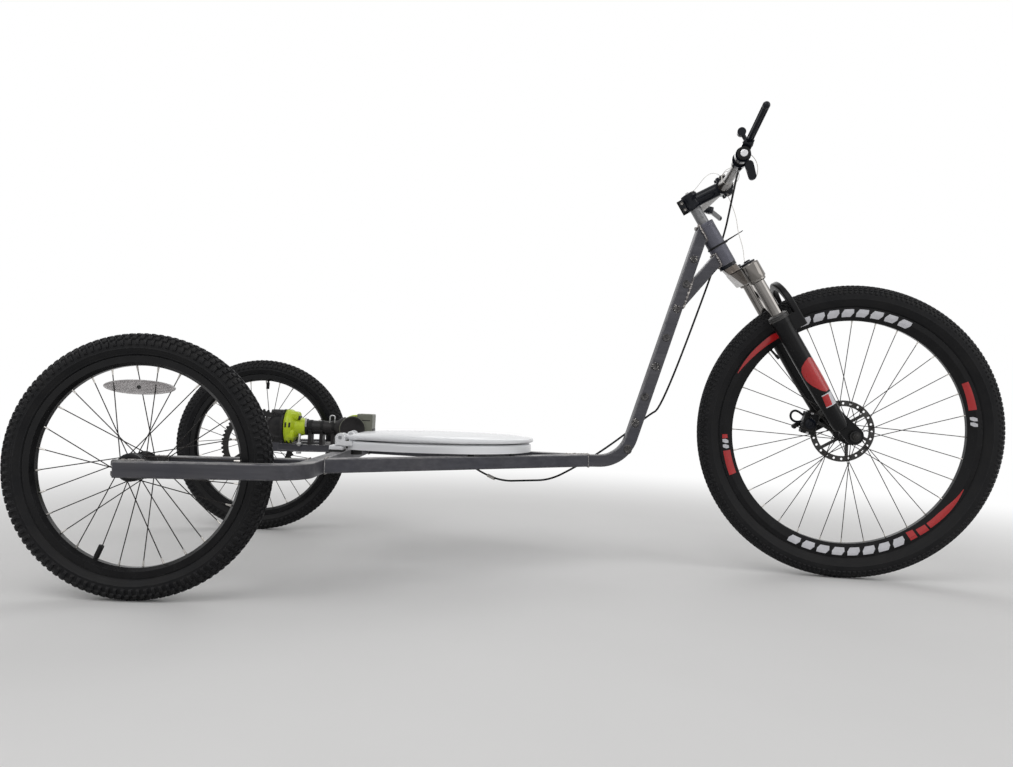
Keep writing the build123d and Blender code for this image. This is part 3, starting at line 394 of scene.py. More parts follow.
def around(count, radius, along=0, start=0.0, axis_matrix=Matrix()):
    """Places on a circle about local Y; local Z of each place points outwards."""
    places = []
    for index in range(count):
        turn = Matrix.Rotation(start + index * 2 * pi / count, 4, "Y")
        places.append(axis_matrix @ turn @ Matrix.Translation((0, along, radius)))
    return places


print("helpers ready")

# %% [markdown]
# The throttle cable and the bare brake wire are held at both ends, so they hang in one smooth line
# between their fastenings. Each is a NURBS curve through the same control points that the CAD
# route has, given in the frame of what carries them: the steered fork, the head tube, the riser
# and the deck. The upper half of the throttle cable bends as the fork turns; here it is drawn once,
# through points in the fork's frame and one on the head tube.

# %% Cables
JOINT_X = 925.1
RISER_CORNER = (1013.68, 0, 275.734)
RISER_ANGLE = radians(73)
CABLE_RADIUS = 2.5 * MM
WIRE_RADIUS = 0.8 * MM

UPPER_ROUTE = (
    (70, -283, 170.5), (73.6, -215, 164.1), (75.4, -150, 153.6), (69.2, -80, 133.2), (57.6, -20, 108.4),
    (42.1, 15, 83.8))
HEAD_ROUTE = ((11, 26.2, 45.8), (-31.9, 24.8, 5.4))
RISER_ROUTE = ((161, 19, 53.5), (132.7, 17.8, 27.7), (69.3, 17.8, -10.4))
RAIL_ROUTE = (
    (24.5, 17.8, 13.6), (-26, 37, -20.3), (-88, 52, -56), (-150, 68, -60), (-217, 80, -64),
    (-285, 137, -37), (-317, 174, -14))
WIRE_ROUTE = (
    (82, -19, 162), (74.5, -38, 127), (68, -41, 93), (54, -42, 60), (46.5, -44, 21), (32, -46, -10),
    (30, -46, -22))

head = frame_from(steer_at, (0, 1, 0), steer_axis)
riser_corner = Vector(RISER_CORNER) * MM + Vector((rear_axle_x, 0, 0))
riser_up = Vector((cos(RISER_ANGLE), 0, sin(RISER_ANGLE)))
riser_ahead = Vector((sin(RISER_ANGLE), 0, -cos(RISER_ANGLE)))


def on_riser(up, y, ahead):
    """A point beside the riser: distance up from its corner, sideways, and ahead of its middle."""
    return riser_corner + (riser_up * up + riser_ahead * ahead + Vector((0, y, 0))) * MM


def in_frame(matrix, point):
    """A point given in millimetres in one of the frames above."""
    return matrix @ (Vector(point) * MM)


head_points = [in_frame(head, point) for point in HEAD_ROUTE]
lower_points = head_points + [on_riser(*point) for point in RISER_ROUTE]
lower_points += [in_frame(deck, (JOINT_X + ahead, y, height)) for ahead, y, height in RAIL_ROUTE]
upper_points = [in_frame(fork, point) for point in UPPER_ROUTE] + [head_points[0]]
wire_points = [in_frame(fork, point) for point in WIRE_ROUTE]

throttle_line = piped("throttle_line", lower_points, CABLE_RADIUS)
throttle_line_upper = piped("throttle_line_upper", upper_points, CABLE_RADIUS)
brake_line = piped("brake_line", wire_points, WIRE_RADIUS)
print("cable faces:", len(throttle_line.data.polygons) + len(throttle_line_upper.data.polygons))

# %% [markdown]
# Finishes. The same few effects come back on many surfaces, so each one is a node group with
# named inputs: mottle (soft cloudy patches), streaks (drawn-out scratches or mill marks), edges
# (a mask on sharp edges: wear on most finishes, a painted highlight on some) and an up-facing mask
# (faces that look up: real dust on most finishes, a painted top light on the frame tube). Each
# material places them with its own values.

# %% Shared shader groups
def new_group(name, inputs, outputs):
    """A node group with its sockets, and its input and output nodes."""
    group = bpy.data.node_groups.new(name, "ShaderNodeTree")
    for label, kind, value in inputs:
        socket = group.interface.new_socket(label, in_out="INPUT", socket_type=kind)
        socket.default_value = value
    for label, kind in outputs:
        group.interface.new_socket(label, in_out="OUTPUT", socket_type=kind)
    entry = group.nodes.new("NodeGroupInput")
    leave = group.nodes.new("NodeGroupOutput")
    return group, entry, leave


FLOAT = "NodeSocketFloat"


def noise_in(group, coordinates, scale_socket, detail, roughness=0.55):
    """A noise texture on given coordinates."""
    noise = group.nodes.new("ShaderNodeTexNoise")
    noise.inputs["Detail"].default_value = detail
    noise.inputs["Roughness"].default_value = roughness
    group.links.new(coordinates, noise.inputs["Vector"])
    group.links.new(scale_socket, noise.inputs["Scale"])
    return noise.outputs["Fac"]


def sharpened(group, value, low, high):
    """Map a value so that low becomes 0 and high becomes 1."""
    ramp = group.nodes.new("ShaderNodeMapRange")
    ramp.inputs["From Min"].default_value = low
    ramp.inputs["From Max"].default_value = high
    group.links.new(value, ramp.inputs["Value"])
    return ramp.outputs["Result"]


def mottle_group():
    """Cloudy patches: a soft mask, a fine mask and a height."""
    group, entry, leave = new_group(
        "mottle", [("Scale", FLOAT, 20), ("Fine scale", FLOAT, 300)],
        [("Mask", FLOAT), ("Fine", FLOAT)])
    place = group.nodes.new("ShaderNodeTexCoord")
    patches = noise_in(group, place.outputs["Object"], entry.outputs["Scale"], 5)
    fine = noise_in(group, place.outputs["Object"], entry.outputs["Fine scale"], 3)
    group.links.new(sharpened(group, patches, 0.32, 0.68), leave.inputs["Mask"])
    group.links.new(fine, leave.inputs["Fine"])
    return group


def streak_group():
    """Noise stretched along X, for drawn tube and brushed metal."""
    group, entry, leave = new_group(
        "streaks", [("Scale", FLOAT, 60), ("Stretch", FLOAT, 0.06)], [("Mask", FLOAT)])
    place = group.nodes.new("ShaderNodeTexCoord")
    squeeze = group.nodes.new("ShaderNodeCombineXYZ")
    group.links.new(entry.outputs["Stretch"], squeeze.inputs["X"])
    squeeze.inputs["Y"].default_value = 1
    squeeze.inputs["Z"].default_value = 1
    product = group.nodes.new("ShaderNodeVectorMath")
    product.operation = "MULTIPLY"
    group.links.new(place.outputs["Object"], product.inputs[0])
    group.links.new(squeeze.outputs[0], product.inputs[1])
    lines = noise_in(group, product.outputs[0], entry.outputs["Scale"], 6, 0.65)
    group.links.new(sharpened(group, lines, 0.3, 0.7), leave.inputs["Mask"])
    return group


def edge_group():
    """A mask that is 1 on sharp edges, broken up by noise."""
    group, entry, leave = new_group("edges", [("Radius", FLOAT, 0.002)], [("Mask", FLOAT)])
    bevel = group.nodes.new("ShaderNodeBevel")
    bevel.samples = 4
    group.links.new(entry.outputs["Radius"], bevel.inputs["Radius"])
    flat = group.nodes.new("ShaderNodeNewGeometry")
    dot = group.nodes.new("ShaderNodeVectorMath")
    dot.operation = "DOT_PRODUCT"
    group.links.new(bevel.outputs["Normal"], dot.inputs[0])
    group.links.new(flat.outputs["Normal"], dot.inputs[1])
    edge = sharpened(group, dot.outputs["Value"], 0.995, 0.9)
    place = group.nodes.new("ShaderNodeTexCoord")
    speckle_scale = group.nodes.new("ShaderNodeValue")
    speckle_scale.outputs[0].default_value = 120
    speckle = noise_in(group, place.outputs["Object"], speckle_scale.outputs[0], 4)
    broken = group.nodes.new("ShaderNodeMath")
    broken.operation = "MULTIPLY"
    group.links.new(edge, broken.inputs[0])
    group.links.new(sharpened(group, speckle, 0.35, 0.6), broken.inputs[1])
    group.links.new(broken.outputs[0], leave.inputs["Mask"])
    return group


# Lightens faces that look up: real dust on most finishes, a painted top light on the frame tube.
def dust_and_top_light_group():
    """A mask for faces that look up, thinned by noise."""
    group, entry, leave = new_group("dust_and_top_light", [("Amount", FLOAT, 0.4)], [("Mask", FLOAT)])
    normal = group.nodes.new("ShaderNodeNewGeometry")
    split = group.nodes.new("ShaderNodeSeparateXYZ")
    group.links.new(normal.outputs["Normal"], split.inputs[0])
    up = sharpened(group, split.outputs["Z"], 0.1, 0.9)
    place = group.nodes.new("ShaderNodeTexCoord")
    cloud_scale = group.nodes.new("ShaderNodeValue")
    cloud_scale.outputs[0].default_value = 35
    cloud = noise_in(group, place.outputs["Object"], cloud_scale.outputs[0], 5)
    first = group.nodes.new("ShaderNodeMath")
    first.operation = "MULTIPLY"
    group.links.new(up, first.inputs[0])
    group.links.new(sharpened(group, cloud, 0.35, 0.7), first.inputs[1])
    second = group.nodes.new("ShaderNodeMath")
    second.operation = "MULTIPLY"
    group.links.new(first.outputs[0], second.inputs[0])
    group.links.new(entry.outputs["Amount"], second.inputs[1])
    group.links.new(second.outputs[0], leave.inputs["Mask"])
    return group


GROUPS = {"mottle": mottle_group(), "streaks": streak_group(), "edges": edge_group(), "dust_and_top_light": dust_and_top_light_group()}
print("shader groups:", sorted(GROUPS))

# %% [markdown]
# A material is a Principled shader whose colour is mixed in layers: a base colour, a second
# colour where a mask says so, and so on. The function below takes those layers as a short list,
# which keeps every finish in this scene readable as one entry of a recipe book.

# %% Material builder
MATERIALS = {}
MIX_SHARE, MIX_BELOW, MIX_ABOVE, MIX_RESULT = 0, 6, 7, 2


def layer_mask(material, kind, settings):
    """One of the shared groups, placed in a material; returns its mask."""
    node = material.node_tree.nodes.new("ShaderNodeGroup")
    node.node_tree = GROUPS[kind]
    for label, value in settings.items():
        node.inputs[label].default_value = value
    return node.outputs["Fine" if kind == "mottle" and settings.get("Fine scale") else "Mask"]


def finish(name, colour, roughness, metallic=0.0, layers=(), rough_span=0.0, bump=None, coat=0.0,
           specular=0.5, alpha=1.0):
    """Make a material from a base colour and (mask kind, settings, colour, strength) layers."""
    material = bpy.data.materials.new(name)
    material.use_nodes = True
    tree = material.node_tree
    shader = tree.nodes["Principled BSDF"]
    shader.inputs["Metallic"].default_value = metallic
    shader.inputs["Roughness"].default_value = roughness
    shader.inputs["Coat Weight"].default_value = coat
    shader.inputs["Specular IOR Level"].default_value = specular
    shader.inputs["Alpha"].default_value = alpha
    shader.inputs["Base Color"].default_value = (*colour, 1)
    below = None
    first_mask = None
    for kind, settings, tint, strength in layers:
        mask = layer_mask(material, kind, settings)
        first_mask = first_mask or mask
        share = tree.nodes.new("ShaderNodeMath")
        share.operation = "MULTIPLY"
        share.inputs[1].default_value = strength
        tree.links.new(mask, share.inputs[0])
        blend = tree.nodes.new("ShaderNodeMix")
        blend.data_type = "RGBA"
        blend.inputs[MIX_BELOW].default_value = (*colour, 1)
        blend.inputs[MIX_ABOVE].default_value = (*tint, 1)
        if below:
            tree.links.new(below, blend.inputs[MIX_BELOW])
        tree.links.new(share.outputs[0], blend.inputs[MIX_SHARE])
        below = blend.outputs[MIX_RESULT]
    if below:
        tree.links.new(below, shader.inputs["Base Color"])
    if rough_span and first_mask:
        varied = tree.nodes.new("ShaderNodeMapRange")
        varied.inputs["To Min"].default_value = roughness
        varied.inputs["To Max"].default_value = roughness + rough_span
        tree.links.new(first_mask, varied.inputs["Value"])
        tree.links.new(varied.outputs["Result"], shader.inputs["Roughness"])
    if bump:
        kind, settings, strength, distance = bump
        height = layer_mask(material, kind, settings)
        raised = tree.nodes.new("ShaderNodeBump")
        raised.inputs["Strength"].default_value = strength
        raised.inputs["Distance"].default_value = distance
        tree.links.new(height, raised.inputs["Height"])
        tree.links.new(raised.outputs["Normal"], shader.inputs["Normal"])
    MATERIALS[name] = material


def mottle(scale, *rest):
    """A layer of cloudy patches, before its colour and strength."""
    return ("mottle", {"Scale": scale}, *rest)


def grain(scale, fine_scale, *rest):
    """A bump of fine grain, before its strength and distance."""
    return ("mottle", {"Scale": scale, "Fine scale": fine_scale}, *rest)


def streaks(scale, stretch, *rest):
    """A layer or bump of drawn-out marks."""
    return ("streaks", {"Scale": scale, "Stretch": stretch}, *rest)


def edges(radius, *rest):
    """A layer on sharp edges: wear on most finishes, a painted highlight on the tyres, the frame tube and the dark
    chrome.
    """
    return ("edges", {"Radius": radius}, *rest)


def dust_and_top_light(amount, *rest):
    """A layer on faces that look up."""
    return ("dust_and_top_light", {"Amount": amount}, *rest)


# %% [markdown]
# The frame is bare hot-rolled tube with its blue-grey mill scale still on, rubbed bright along
# the corners and brightened there further as a painted highlight; its upper faces carry dust and a
# painted top light. The head tube is a paler drawn tube. Tyres are dull rubber with dust in them and
# a painted highlight on the knobs' edges, the fork has polished stanchions, their chrome darkened as a
# painted reflection, in a cast crown, and the motor's shell is lime and dark plastic.

# %% Finishes of the tricycle
finish("bare_tube", (0.046, 0.047, 0.058), 0.36, 0.6,
    [mottle(5, (0.125, 0.118, 0.116), 0.5),
     mottle(22, (0.085, 0.085, 0.098), 0.5),
     streaks(90, 0.05, (0.022, 0.023, 0.03), 0.55),
     # Worn corners, made brighter than wear alone as a painted highlight along the tube's edges.
     edges(0.0026, (0.5, 0.49, 0.48), 0.9),
     # Faces that look up are lightened here: dust and a painted top light.
     dust_and_top_light(0.9, (0.36, 0.35, 0.34), 0.75)],
    rough_span=0.2, bump=streaks(160, 0.08, 0.14, 0.0006))
finish("plate_steel", (0.09, 0.09, 0.095), 0.42, 0.8,
    [mottle(30, (0.16, 0.155, 0.15), 0.6),
     edges(0.0015, (0.45, 0.44, 0.42), 0.9)],
    rough_span=0.15, bump=grain(60, 400, 0.1, 0.0004))
finish("head_steel", (0.085, 0.086, 0.108), 0.36, 0.55,
    [mottle(22, (0.125, 0.125, 0.15), 0.6),
     streaks(120, 0.3, (0.055, 0.055, 0.07), 0.4),
     edges(0.0016, (0.4, 0.39, 0.4), 0.7)],
    rough_span=0.18, bump=grain(80, 500, 0.08, 0.0004))
finish("weld_steel", (0.42, 0.40, 0.38), 0.28, 0.85,
    [mottle(220, (0.16, 0.14, 0.13), 0.6),
     mottle(60, (0.05, 0.05, 0.07), 0.5)],
    rough_span=0.25, bump=grain(200, 900, 0.3, 0.0008))
finish("plug_steel", (0.014, 0.014, 0.017), 0.3, 0.6,
    [mottle(420, (0.40, 0.38, 0.36), 0.4),
     mottle(140, (0.008, 0.008, 0.010), 0.9)],
    rough_span=0.25, bump=grain(200, 900, 0.5, 0.0008))
finish("bright_spatter", (0.6, 0.58, 0.55), 0.22, 0.9,
    [mottle(200, (0.2, 0.19, 0.18), 0.5)], rough_span=0.2)
finish("zinc_steel", (0.48, 0.48, 0.49), 0.3, 1.0,
    [mottle(60, (0.30, 0.29, 0.28), 0.6)], rough_span=0.15)
finish("tyre_rubber", (0.0085, 0.0087, 0.0098), 0.46, 0.0,
    [mottle(24, (0.017, 0.0168, 0.0172), 0.8),
     # Lighter knob edges: a painted highlight on the tread.
     edges(0.0014, (0.05, 0.05, 0.055), 0.6),
     dust_and_top_light(0.7, (0.05, 0.046, 0.042), 0.4)],
    rough_span=0.18, bump=grain(100, 700, 0.12, 0.0004), specular=0.13)
finish("black_rim", (0.005, 0.005, 0.0056), 0.2, 0.0,
    [mottle(40, (0.011, 0.011, 0.012), 0.5),
     edges(0.0008, (0.08, 0.08, 0.085), 0.5)], rough_span=0.1, specular=0.16)
finish("black_spoke", (0.010, 0.009, 0.0085), 0.3, 0.15,
    [mottle(50, (0.03, 0.025, 0.022), 0.6)], rough_span=0.15, specular=0.2)
finish("black_metal", (0.008, 0.008, 0.0085), 0.3, 0.1,
    [mottle(60, (0.022, 0.022, 0.023), 0.5),
     edges(0.0008, (0.2, 0.2, 0.2), 0.6)], rough_span=0.14, specular=0.18)
finish("gloss_black", (0.005, 0.006, 0.010), 0.13, 0.0,
    [mottle(30, (0.010, 0.012, 0.018), 0.5)], rough_span=0.08, coat=0.2, specular=0.1)
finish("satin_black", (0.0058, 0.0058, 0.0064), 0.22, 0.0,
    [mottle(18, (0.011, 0.011, 0.012), 0.6)],
    rough_span=0.12, bump=grain(60, 900, 0.03, 0.0002), specular=0.15)
finish("soft_black", (0.008, 0.008, 0.0085), 0.5, 0.0,
    [mottle(60, (0.018, 0.018, 0.018), 0.5)], rough_span=0.1, specular=0.15)
finish("seal_rubber", (0.03, 0.03, 0.031), 0.38, 0.0,
    [mottle(60, (0.07, 0.068, 0.065), 0.6),
     dust_and_top_light(0.9, (0.16, 0.15, 0.14), 0.6)], rough_span=0.15)
finish("brushed_steerer", (0.15, 0.15, 0.155), 0.32, 0.9,
    [streaks(200, 0.4, (0.36, 0.36, 0.36), 0.6),
     mottle(30, (0.11, 0.11, 0.12), 0.5)], rough_span=0.15)
finish("cast_crown", (0.095, 0.080, 0.069), 0.2, 0.85,
    [mottle(40, (0.17, 0.148, 0.128), 0.5),
     edges(0.003, (0.45, 0.42, 0.38), 0.7),
     dust_and_top_light(0.5, (0.28, 0.25, 0.22), 0.4)], rough_span=0.15, coat=0.1)
# The chrome colours are darkened and browned as a painted dark reflection; the dark chrome's bright edge layer is
# a painted highlight.
finish("chrome", (0.26, 0.248, 0.236), 0.07, 1.0,
    [mottle(40, (0.18, 0.17, 0.16), 0.5)], rough_span=0.06)
finish("dark_chrome", (0.20, 0.188, 0.176), 0.06, 1.0,
    [mottle(40, (0.13, 0.122, 0.115), 0.5),
     edges(0.002, (0.6, 0.58, 0.55), 0.8)], rough_span=0.06)
finish("bright_dot", (0.82, 0.82, 0.83), 0.2, 0.3,
    [mottle(90, (0.66, 0.66, 0.67), 0.5)], rough_span=0.1)
finish("bright_wire", (0.55, 0.53, 0.5), 0.28, 1.0,
    [mottle(90, (0.4, 0.38, 0.36), 0.5)], rough_span=0.1)
finish("rotor_steel", (0.060, 0.059, 0.059), 0.34, 0.9,
    [streaks(240, 0.7, (0.12, 0.118, 0.115), 0.6),
     mottle(30, (0.035, 0.033, 0.031), 0.6)], rough_span=0.2)
finish("dark_steel", (0.013, 0.013, 0.014), 0.38, 0.4,
    [mottle(50, (0.035, 0.033, 0.03), 0.6),
     edges(0.0008, (0.2, 0.19, 0.18), 0.5)], rough_span=0.15, specular=0.35)
finish("grey_alloy", (0.062, 0.053, 0.047), 0.26, 0.7,
    [mottle(70, (0.14, 0.122, 0.108), 0.6),
     streaks(150, 0.4, (0.035, 0.03, 0.027), 0.45)],
    rough_span=0.15, bump=grain(90, 900, 0.05, 0.0002), coat=0.1)
finish("lime_plastic", (0.50, 0.63, 0.008), 0.32, 0.0,
    [mottle(45, (0.40, 0.52, 0.010), 0.5),
     dust_and_top_light(0.5, (0.58, 0.64, 0.12), 0.3)],
    rough_span=0.12, bump=grain(100, 1400, 0.08, 0.0002))
finish("tool_head", (0.012, 0.012, 0.0135), 0.38, 0.2,
    [mottle(70, (0.036, 0.034, 0.033), 0.6),
     edges(0.001, (0.16, 0.15, 0.14), 0.6)],
    rough_span=0.15, bump=grain(100, 800, 0.15, 0.0003), specular=0.2)
finish("dark_plastic", (0.013, 0.012, 0.0125), 0.42, 0.0,
    [mottle(40, (0.028, 0.026, 0.026), 0.6)],
    rough_span=0.12, bump=grain(90, 1100, 0.15, 0.0003), specular=0.22)
finish("battery_plastic", (0.13, 0.135, 0.105), 0.45, 0.0,
    [mottle(40, (0.17, 0.175, 0.14), 0.6)],
    rough_span=0.1, bump=grain(90, 1100, 0.12, 0.0003))
finish("white_seat", (0.80, 0.81, 0.83), 0.22, 0.0,
    [mottle(4, (0.785, 0.79, 0.805), 0.35)],
    rough_span=0.05, coat=0.1, specular=0.3)
finish("clear_rubber", (0.012, 0.012, 0.012), 0.5, 0.0,
    [mottle(60, (0.03, 0.03, 0.028), 0.5)], rough_span=0.1, specular=0.3)
finish("reflector", (0.52, 0.50, 0.50), 0.12, 0.0,
    [mottle(26, (0.33, 0.30, 0.30), 0.6),
     edges(0.0015, (0.16, 0.15, 0.155), 0.7)],
    rough_span=0.15, coat=0.4, bump=grain(100, 300, 0.4, 0.0006), alpha=0.82)
finish("red_decal", (0.44, 0.006, 0.008), 0.26, 0.0,
    [mottle(40, (0.32, 0.005, 0.007), 0.6)], rough_span=0.1, coat=0.3)
finish("white_decal", (0.62, 0.62, 0.65), 0.35, 0.0,
    [mottle(60, (0.48, 0.48, 0.52), 0.6)], rough_span=0.1)
finish("pale_floor", (0.80, 0.795, 0.79), 0.85, 0.0,
    [mottle(3, (0.78, 0.775, 0.77), 0.6)], rough_span=0.05, specular=0.1)


def fade_to_white(material, near, far):
    """Past the object's own shadow the floor turns into the white background."""
    tree = material.node_tree
    place = tree.nodes.new("ShaderNodeTexCoord")
    reach = tree.nodes.new("ShaderNodeVectorMath")
    reach.operation = "LENGTH"
    tree.links.new(place.outputs["Object"], reach.inputs[0])
    fade = tree.nodes.new("ShaderNodeMapRange")
    fade.interpolation_type = "SMOOTHSTEP"
    fade.inputs["From Min"].default_value = near
    fade.inputs["From Max"].default_value = far
    tree.links.new(reach.outputs["Value"], fade.inputs["Value"])
    share = tree.nodes.new("ShaderNodeMath")
    share.operation = "MULTIPLY"
    tree.links.new(fade.outputs["Result"], share.inputs[0])
    tree.links.new(seen_directly(tree), share.inputs[1])
    glow = tree.nodes.new("ShaderNodeEmission")
    glow.inputs["Strength"].default_value = SKY_SEEN
    mixed = tree.nodes.new("ShaderNodeMixShader")
    tree.links.new(share.outputs[0], mixed.inputs["Fac"])
    tree.links.new(tree.nodes["Principled BSDF"].outputs["BSDF"], mixed.inputs[1])
    tree.links.new(glow.outputs[0], mixed.inputs[2])
    tree.links.new(mixed.outputs[0], tree.nodes["Material Output"].inputs["Surface"])


fade_to_white(MATERIALS["pale_floor"], 1.1, 3.4)
floor.data.materials.append(MATERIALS["pale_floor"])
print("materials:", len(MATERIALS))

# %% [markdown]
# Every CAD node gets the finish that the record names for it. Their meshes are never touched;
# only what fills their material slots changes.

# %% Dress the CAD nodes
slot_of = {entry["node"]: entry["material_slot"] for entry in frame["record"]["subparts"]}
for name, node in nodes.items():
    node.data.materials.clear()
    node.data.materials.append(MATERIALS[slot_of[name]])
print("dressed", len(slot_of), "nodes")


def finished(piece, body, slot, material=None):
    """Give a piece its finish, the material named by slot unless one is given, and the body it moves with."""
    piece.data.materials.clear()
    piece.data.materials.append(MATERIALS[material or slot])
    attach(piece, body)
    return piece


# %% Finish of the cables
finished(throttle_line, "frame", "soft_black")
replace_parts(throttle_line, "throttle_cable")
throttle_line_upper.data.materials.append(MATERIALS["soft_black"])
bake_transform(throttle_line_upper)
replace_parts(throttle_line_upper, "throttle_cable_upper")
finished(brake_line, "steering", "bright_wire")
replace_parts(brake_line, "brake_wire")

# %% [markdown]
# Tyres. The CAD tyre is a plain crown of the right outer size. The real ones are knobbly: a low
# field of small blocks on the big front tyre, and taller blocks with long shoulder ribs on the
# rear ones. A casing is spun a few millimetres smaller, with rounded sidewalls and two moulded
# lines, and one tapered knob is copied in staggered rows, up to the CAD radius. The knob has
# few faces, because there are thousands.

# %% Tyre casings and knobs
WALL_LINES = (
    (0.18, 0), (0.24, 0.7), (0.30, 0), (0.5, 0), (0.7, 0), (0.8, 0), (0.86, 0.8), (0.92, 0), (1, 0))


def casing(name, radius, width, bead_radius, bead_half, tread, matrix):
    """Rubber casing: crown arc, bulging sidewalls with two moulded lines, and the bead."""
    crown = radius - width / 2
    round_radius = width / 2 - tread
    turns = [radians(9 * i) for i in range(11)]
    arc = [(crown + round_radius * cos(a), round_radius * sin(a)) for a in turns]
    bead_top = bead_radius + 7 * MM
    wall = []
    for share, proud in WALL_LINES:
        wall.append((crown - share * (crown - bead_top),
                     round_radius + (bead_half - round_radius) * share ** 1.9 + proud * MM))
    half = arc + wall + [(bead_radius + 0.6 * MM, bead_half)]
    outline = half + [(r, -y) for r, y in reversed(half[1:])]
    return spun(name, outline, 144, matrix)


def knob(length, width, height, taper):
    """A block of rubber, narrower at its top, with its upper edges broken."""
    root = 1.2 * MM
    piece = block("knob", (length, width, height + root), (0, 0, (height - root) / 2))
    pick(piece, lambda centre, normal: normal.z > 0.9)
    bpy.ops.transform.resize(value=(taper, taper, 1))
    bpy.ops.mesh.bevel(offset=0.9 * MM, segments=1)
    done()
    return piece


def tread(name, radius, width, height, rows, matrix):
    """Staggered rows of knobs; each row: section angle, count, offset share, knob length, knob width."""
    pieces = []
    crown = radius - width / 2
    lift = width / 2 - height - 0.2 * MM
    for tilt, count, offset, length, across, taper in rows:
        model = knob(length * MM, across * MM, height, taper)
        places = []
        for side in ((-1, 1) if tilt else (1,)):
            lean = Matrix.Rotation(side * radians(tilt), 4, "X") @ Matrix.Translation((0, 0, lift))
            for place in around(count, crown, 0, offset * 2 * pi / count):
                places.append(matrix @ place @ lean)
        pieces.append(copies(f"{name}_{tilt}", model, places))
    return joined(name, pieces)


FRONT_ROWS = (
    (0, 190, 0.0, 9.2, 6.4, 0.82), (17, 190, 0.5, 9.2, 6.4, 0.82), (34, 188, 0.0, 9.0, 6.4, 0.82),
    (51, 184, 0.5, 8.6, 6.4, 0.82), (69, 178, 0.0, 7.4, 8.0, 0.8))
REAR_ROWS = (
    (0, 112, 0.0, 8.6, 7.4, 0.8), (23, 112, 0.5, 9.4, 8.6, 0.8), (47, 108, 0.0, 9.2, 9.4, 0.8),
    (73, 104, 0.5, 6.8, 12.5, 0.78))
TYRES = (
    ("front", 373, 57, 311, 12, 2.6, FRONT_ROWS, front_wheel, "front_wheel"),
    ("right", 254.5, 52, 204, 13, 3.8, REAR_ROWS, right_wheel, "right_wheel"),
    ("left", 254.5, 52, 204, 13, 3.8, REAR_ROWS, left_wheel, "left_wheel"))
for label, radius, width, bead, half, height, rows, place, body in TYRES:
    shell = casing(f"{label}_casing", radius * MM, width * MM, bead * MM, half * MM, height * MM, place)
    knobs = tread(f"{label}_knobs", radius * MM, width * MM, height * MM, rows, place)
    rubber = finished(joined(f"{label}_tyre_tread", [shell, knobs]), body, "tyre_rubber")
    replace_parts(rubber, f"{label}_tyre")
    print(label, "tyre faces", len(rubber.data.polygons))

# %% [markdown]
# Spokes end in short nipples at the rim, which catch the light as small bright dots. They are
# placed with the same count and crossing as the spokes: each side's spokes leave the hub in
# pairs, leaning forward and back by three steps.

# %% Nipples and valves
def nipple_places(count, turn, flange_y, rim_radius, matrix):
    """Places on the spokes just inside the rim, local Z towards the rim."""
    places = []
    per_side = count // 2
    step = 2 * pi / per_side
    for side in (-1, 1):
        for index in range(per_side):
            lean = 1 if index % 2 == 0 else -1
            hub_angle = index * step + (step / 2 if side > 0 else 0) + turn
            rim_angle = hub_angle + lean * 3 * step
            start = mm(21 * cos(hub_angle), side * flange_y + lean * 2.2, 21 * sin(hub_angle))
            end = mm(rim_radius * cos(rim_angle), side * 2.2, rim_radius * sin(rim_angle))
            along = (end - start).normalized()
            spot = end - along * (end - start).length * 6 / (rim_radius - 21)
            aim = along.to_track_quat("Z", "Y").to_matrix().to_4x4()
            aim.translation = spot
            places.append(matrix @ aim)
    return places


def nipple():
    """A small barrel with a waist."""
    piece = drum("nipple", 2.1 * MM, 11 * MM, (0, 0, -5.5 * MM), "Z", 8)
    pick(piece, lambda centre, normal: normal.z < -0.9)
    bpy.ops.transform.resize(value=(0.66, 0.66, 1))
    done()
    return piece


WHEEL_SPOKES = (
    ("front", 32, 2.8, 27, 290, front_wheel, "front_wheel"),
    ("right", 28, 5, 26, 198, right_wheel, "right_wheel"),
    ("left", 28, 0, 26, 198, left_wheel, "left_wheel"))
for label, count, turn, flange, rim, place, body in WHEEL_SPOKES:
    bits = copies(f"{label}_nipples", nipple(), nipple_places(count, radians(turn), flange, rim, place))
    finished(bits, body, "bright_wire")


def valve(name, radius, angle, length, cap_length, cap_radius, matrix):
    """A valve stem through the rim with its cap, pointing at the hub."""
    stem = drum("stem", 2.9 * MM, length * MM, (0, 0, -length * MM / 2), "Z", 16)
    collar = drum("collar", 4.6 * MM, 2.2 * MM, (0, 0, -1.1 * MM), "Z", 6)
    cap = drum("cap", cap_radius * MM, cap_length * MM, (0, 0, -(length - cap_length * 0.4) * MM), "Z", 18)
    pick(cap, lambda centre, normal: normal.z < -0.9)
    bpy.ops.mesh.bevel(offset=1.2 * MM, segments=2)
    done()
    rounded(collar, 0.4 * MM)
    aim = Matrix.Rotation(-radians(angle) + pi / 2, 4, "Y") @ Matrix.Translation((0, 0, radius * MM))
    return smooth(placed(joined(name, [stem, collar, cap]), matrix @ aim))


finished(valve("front_valve", 285, 102.5, 30, 12, 3.6, front_wheel), "front_wheel", "soft_black")
finished(valve("right_valve", 193, -111.6, 26, 24, 5.2, right_wheel), "right_wheel", "soft_black")
finished(valve("left_valve", 193, 87.6, 24, 20, 4.6, left_wheel), "left_wheel", "soft_black")
print("nipples and valves placed")

# %% [markdown]
# Rim decals: red tapered stripes and short bars. Each one is a flat grid laid on the rim's flank
# and given a thin wall. The rim's flank is a cone below and a flat band above, so a point's
# sideways place follows from its radius.

# %% Rim decals
def rim_flank(radius):
    """Half width of the front rim at a radius, in millimetres."""
    return 6 + 8 * min(max((radius - 284) / 21, 0), 1)


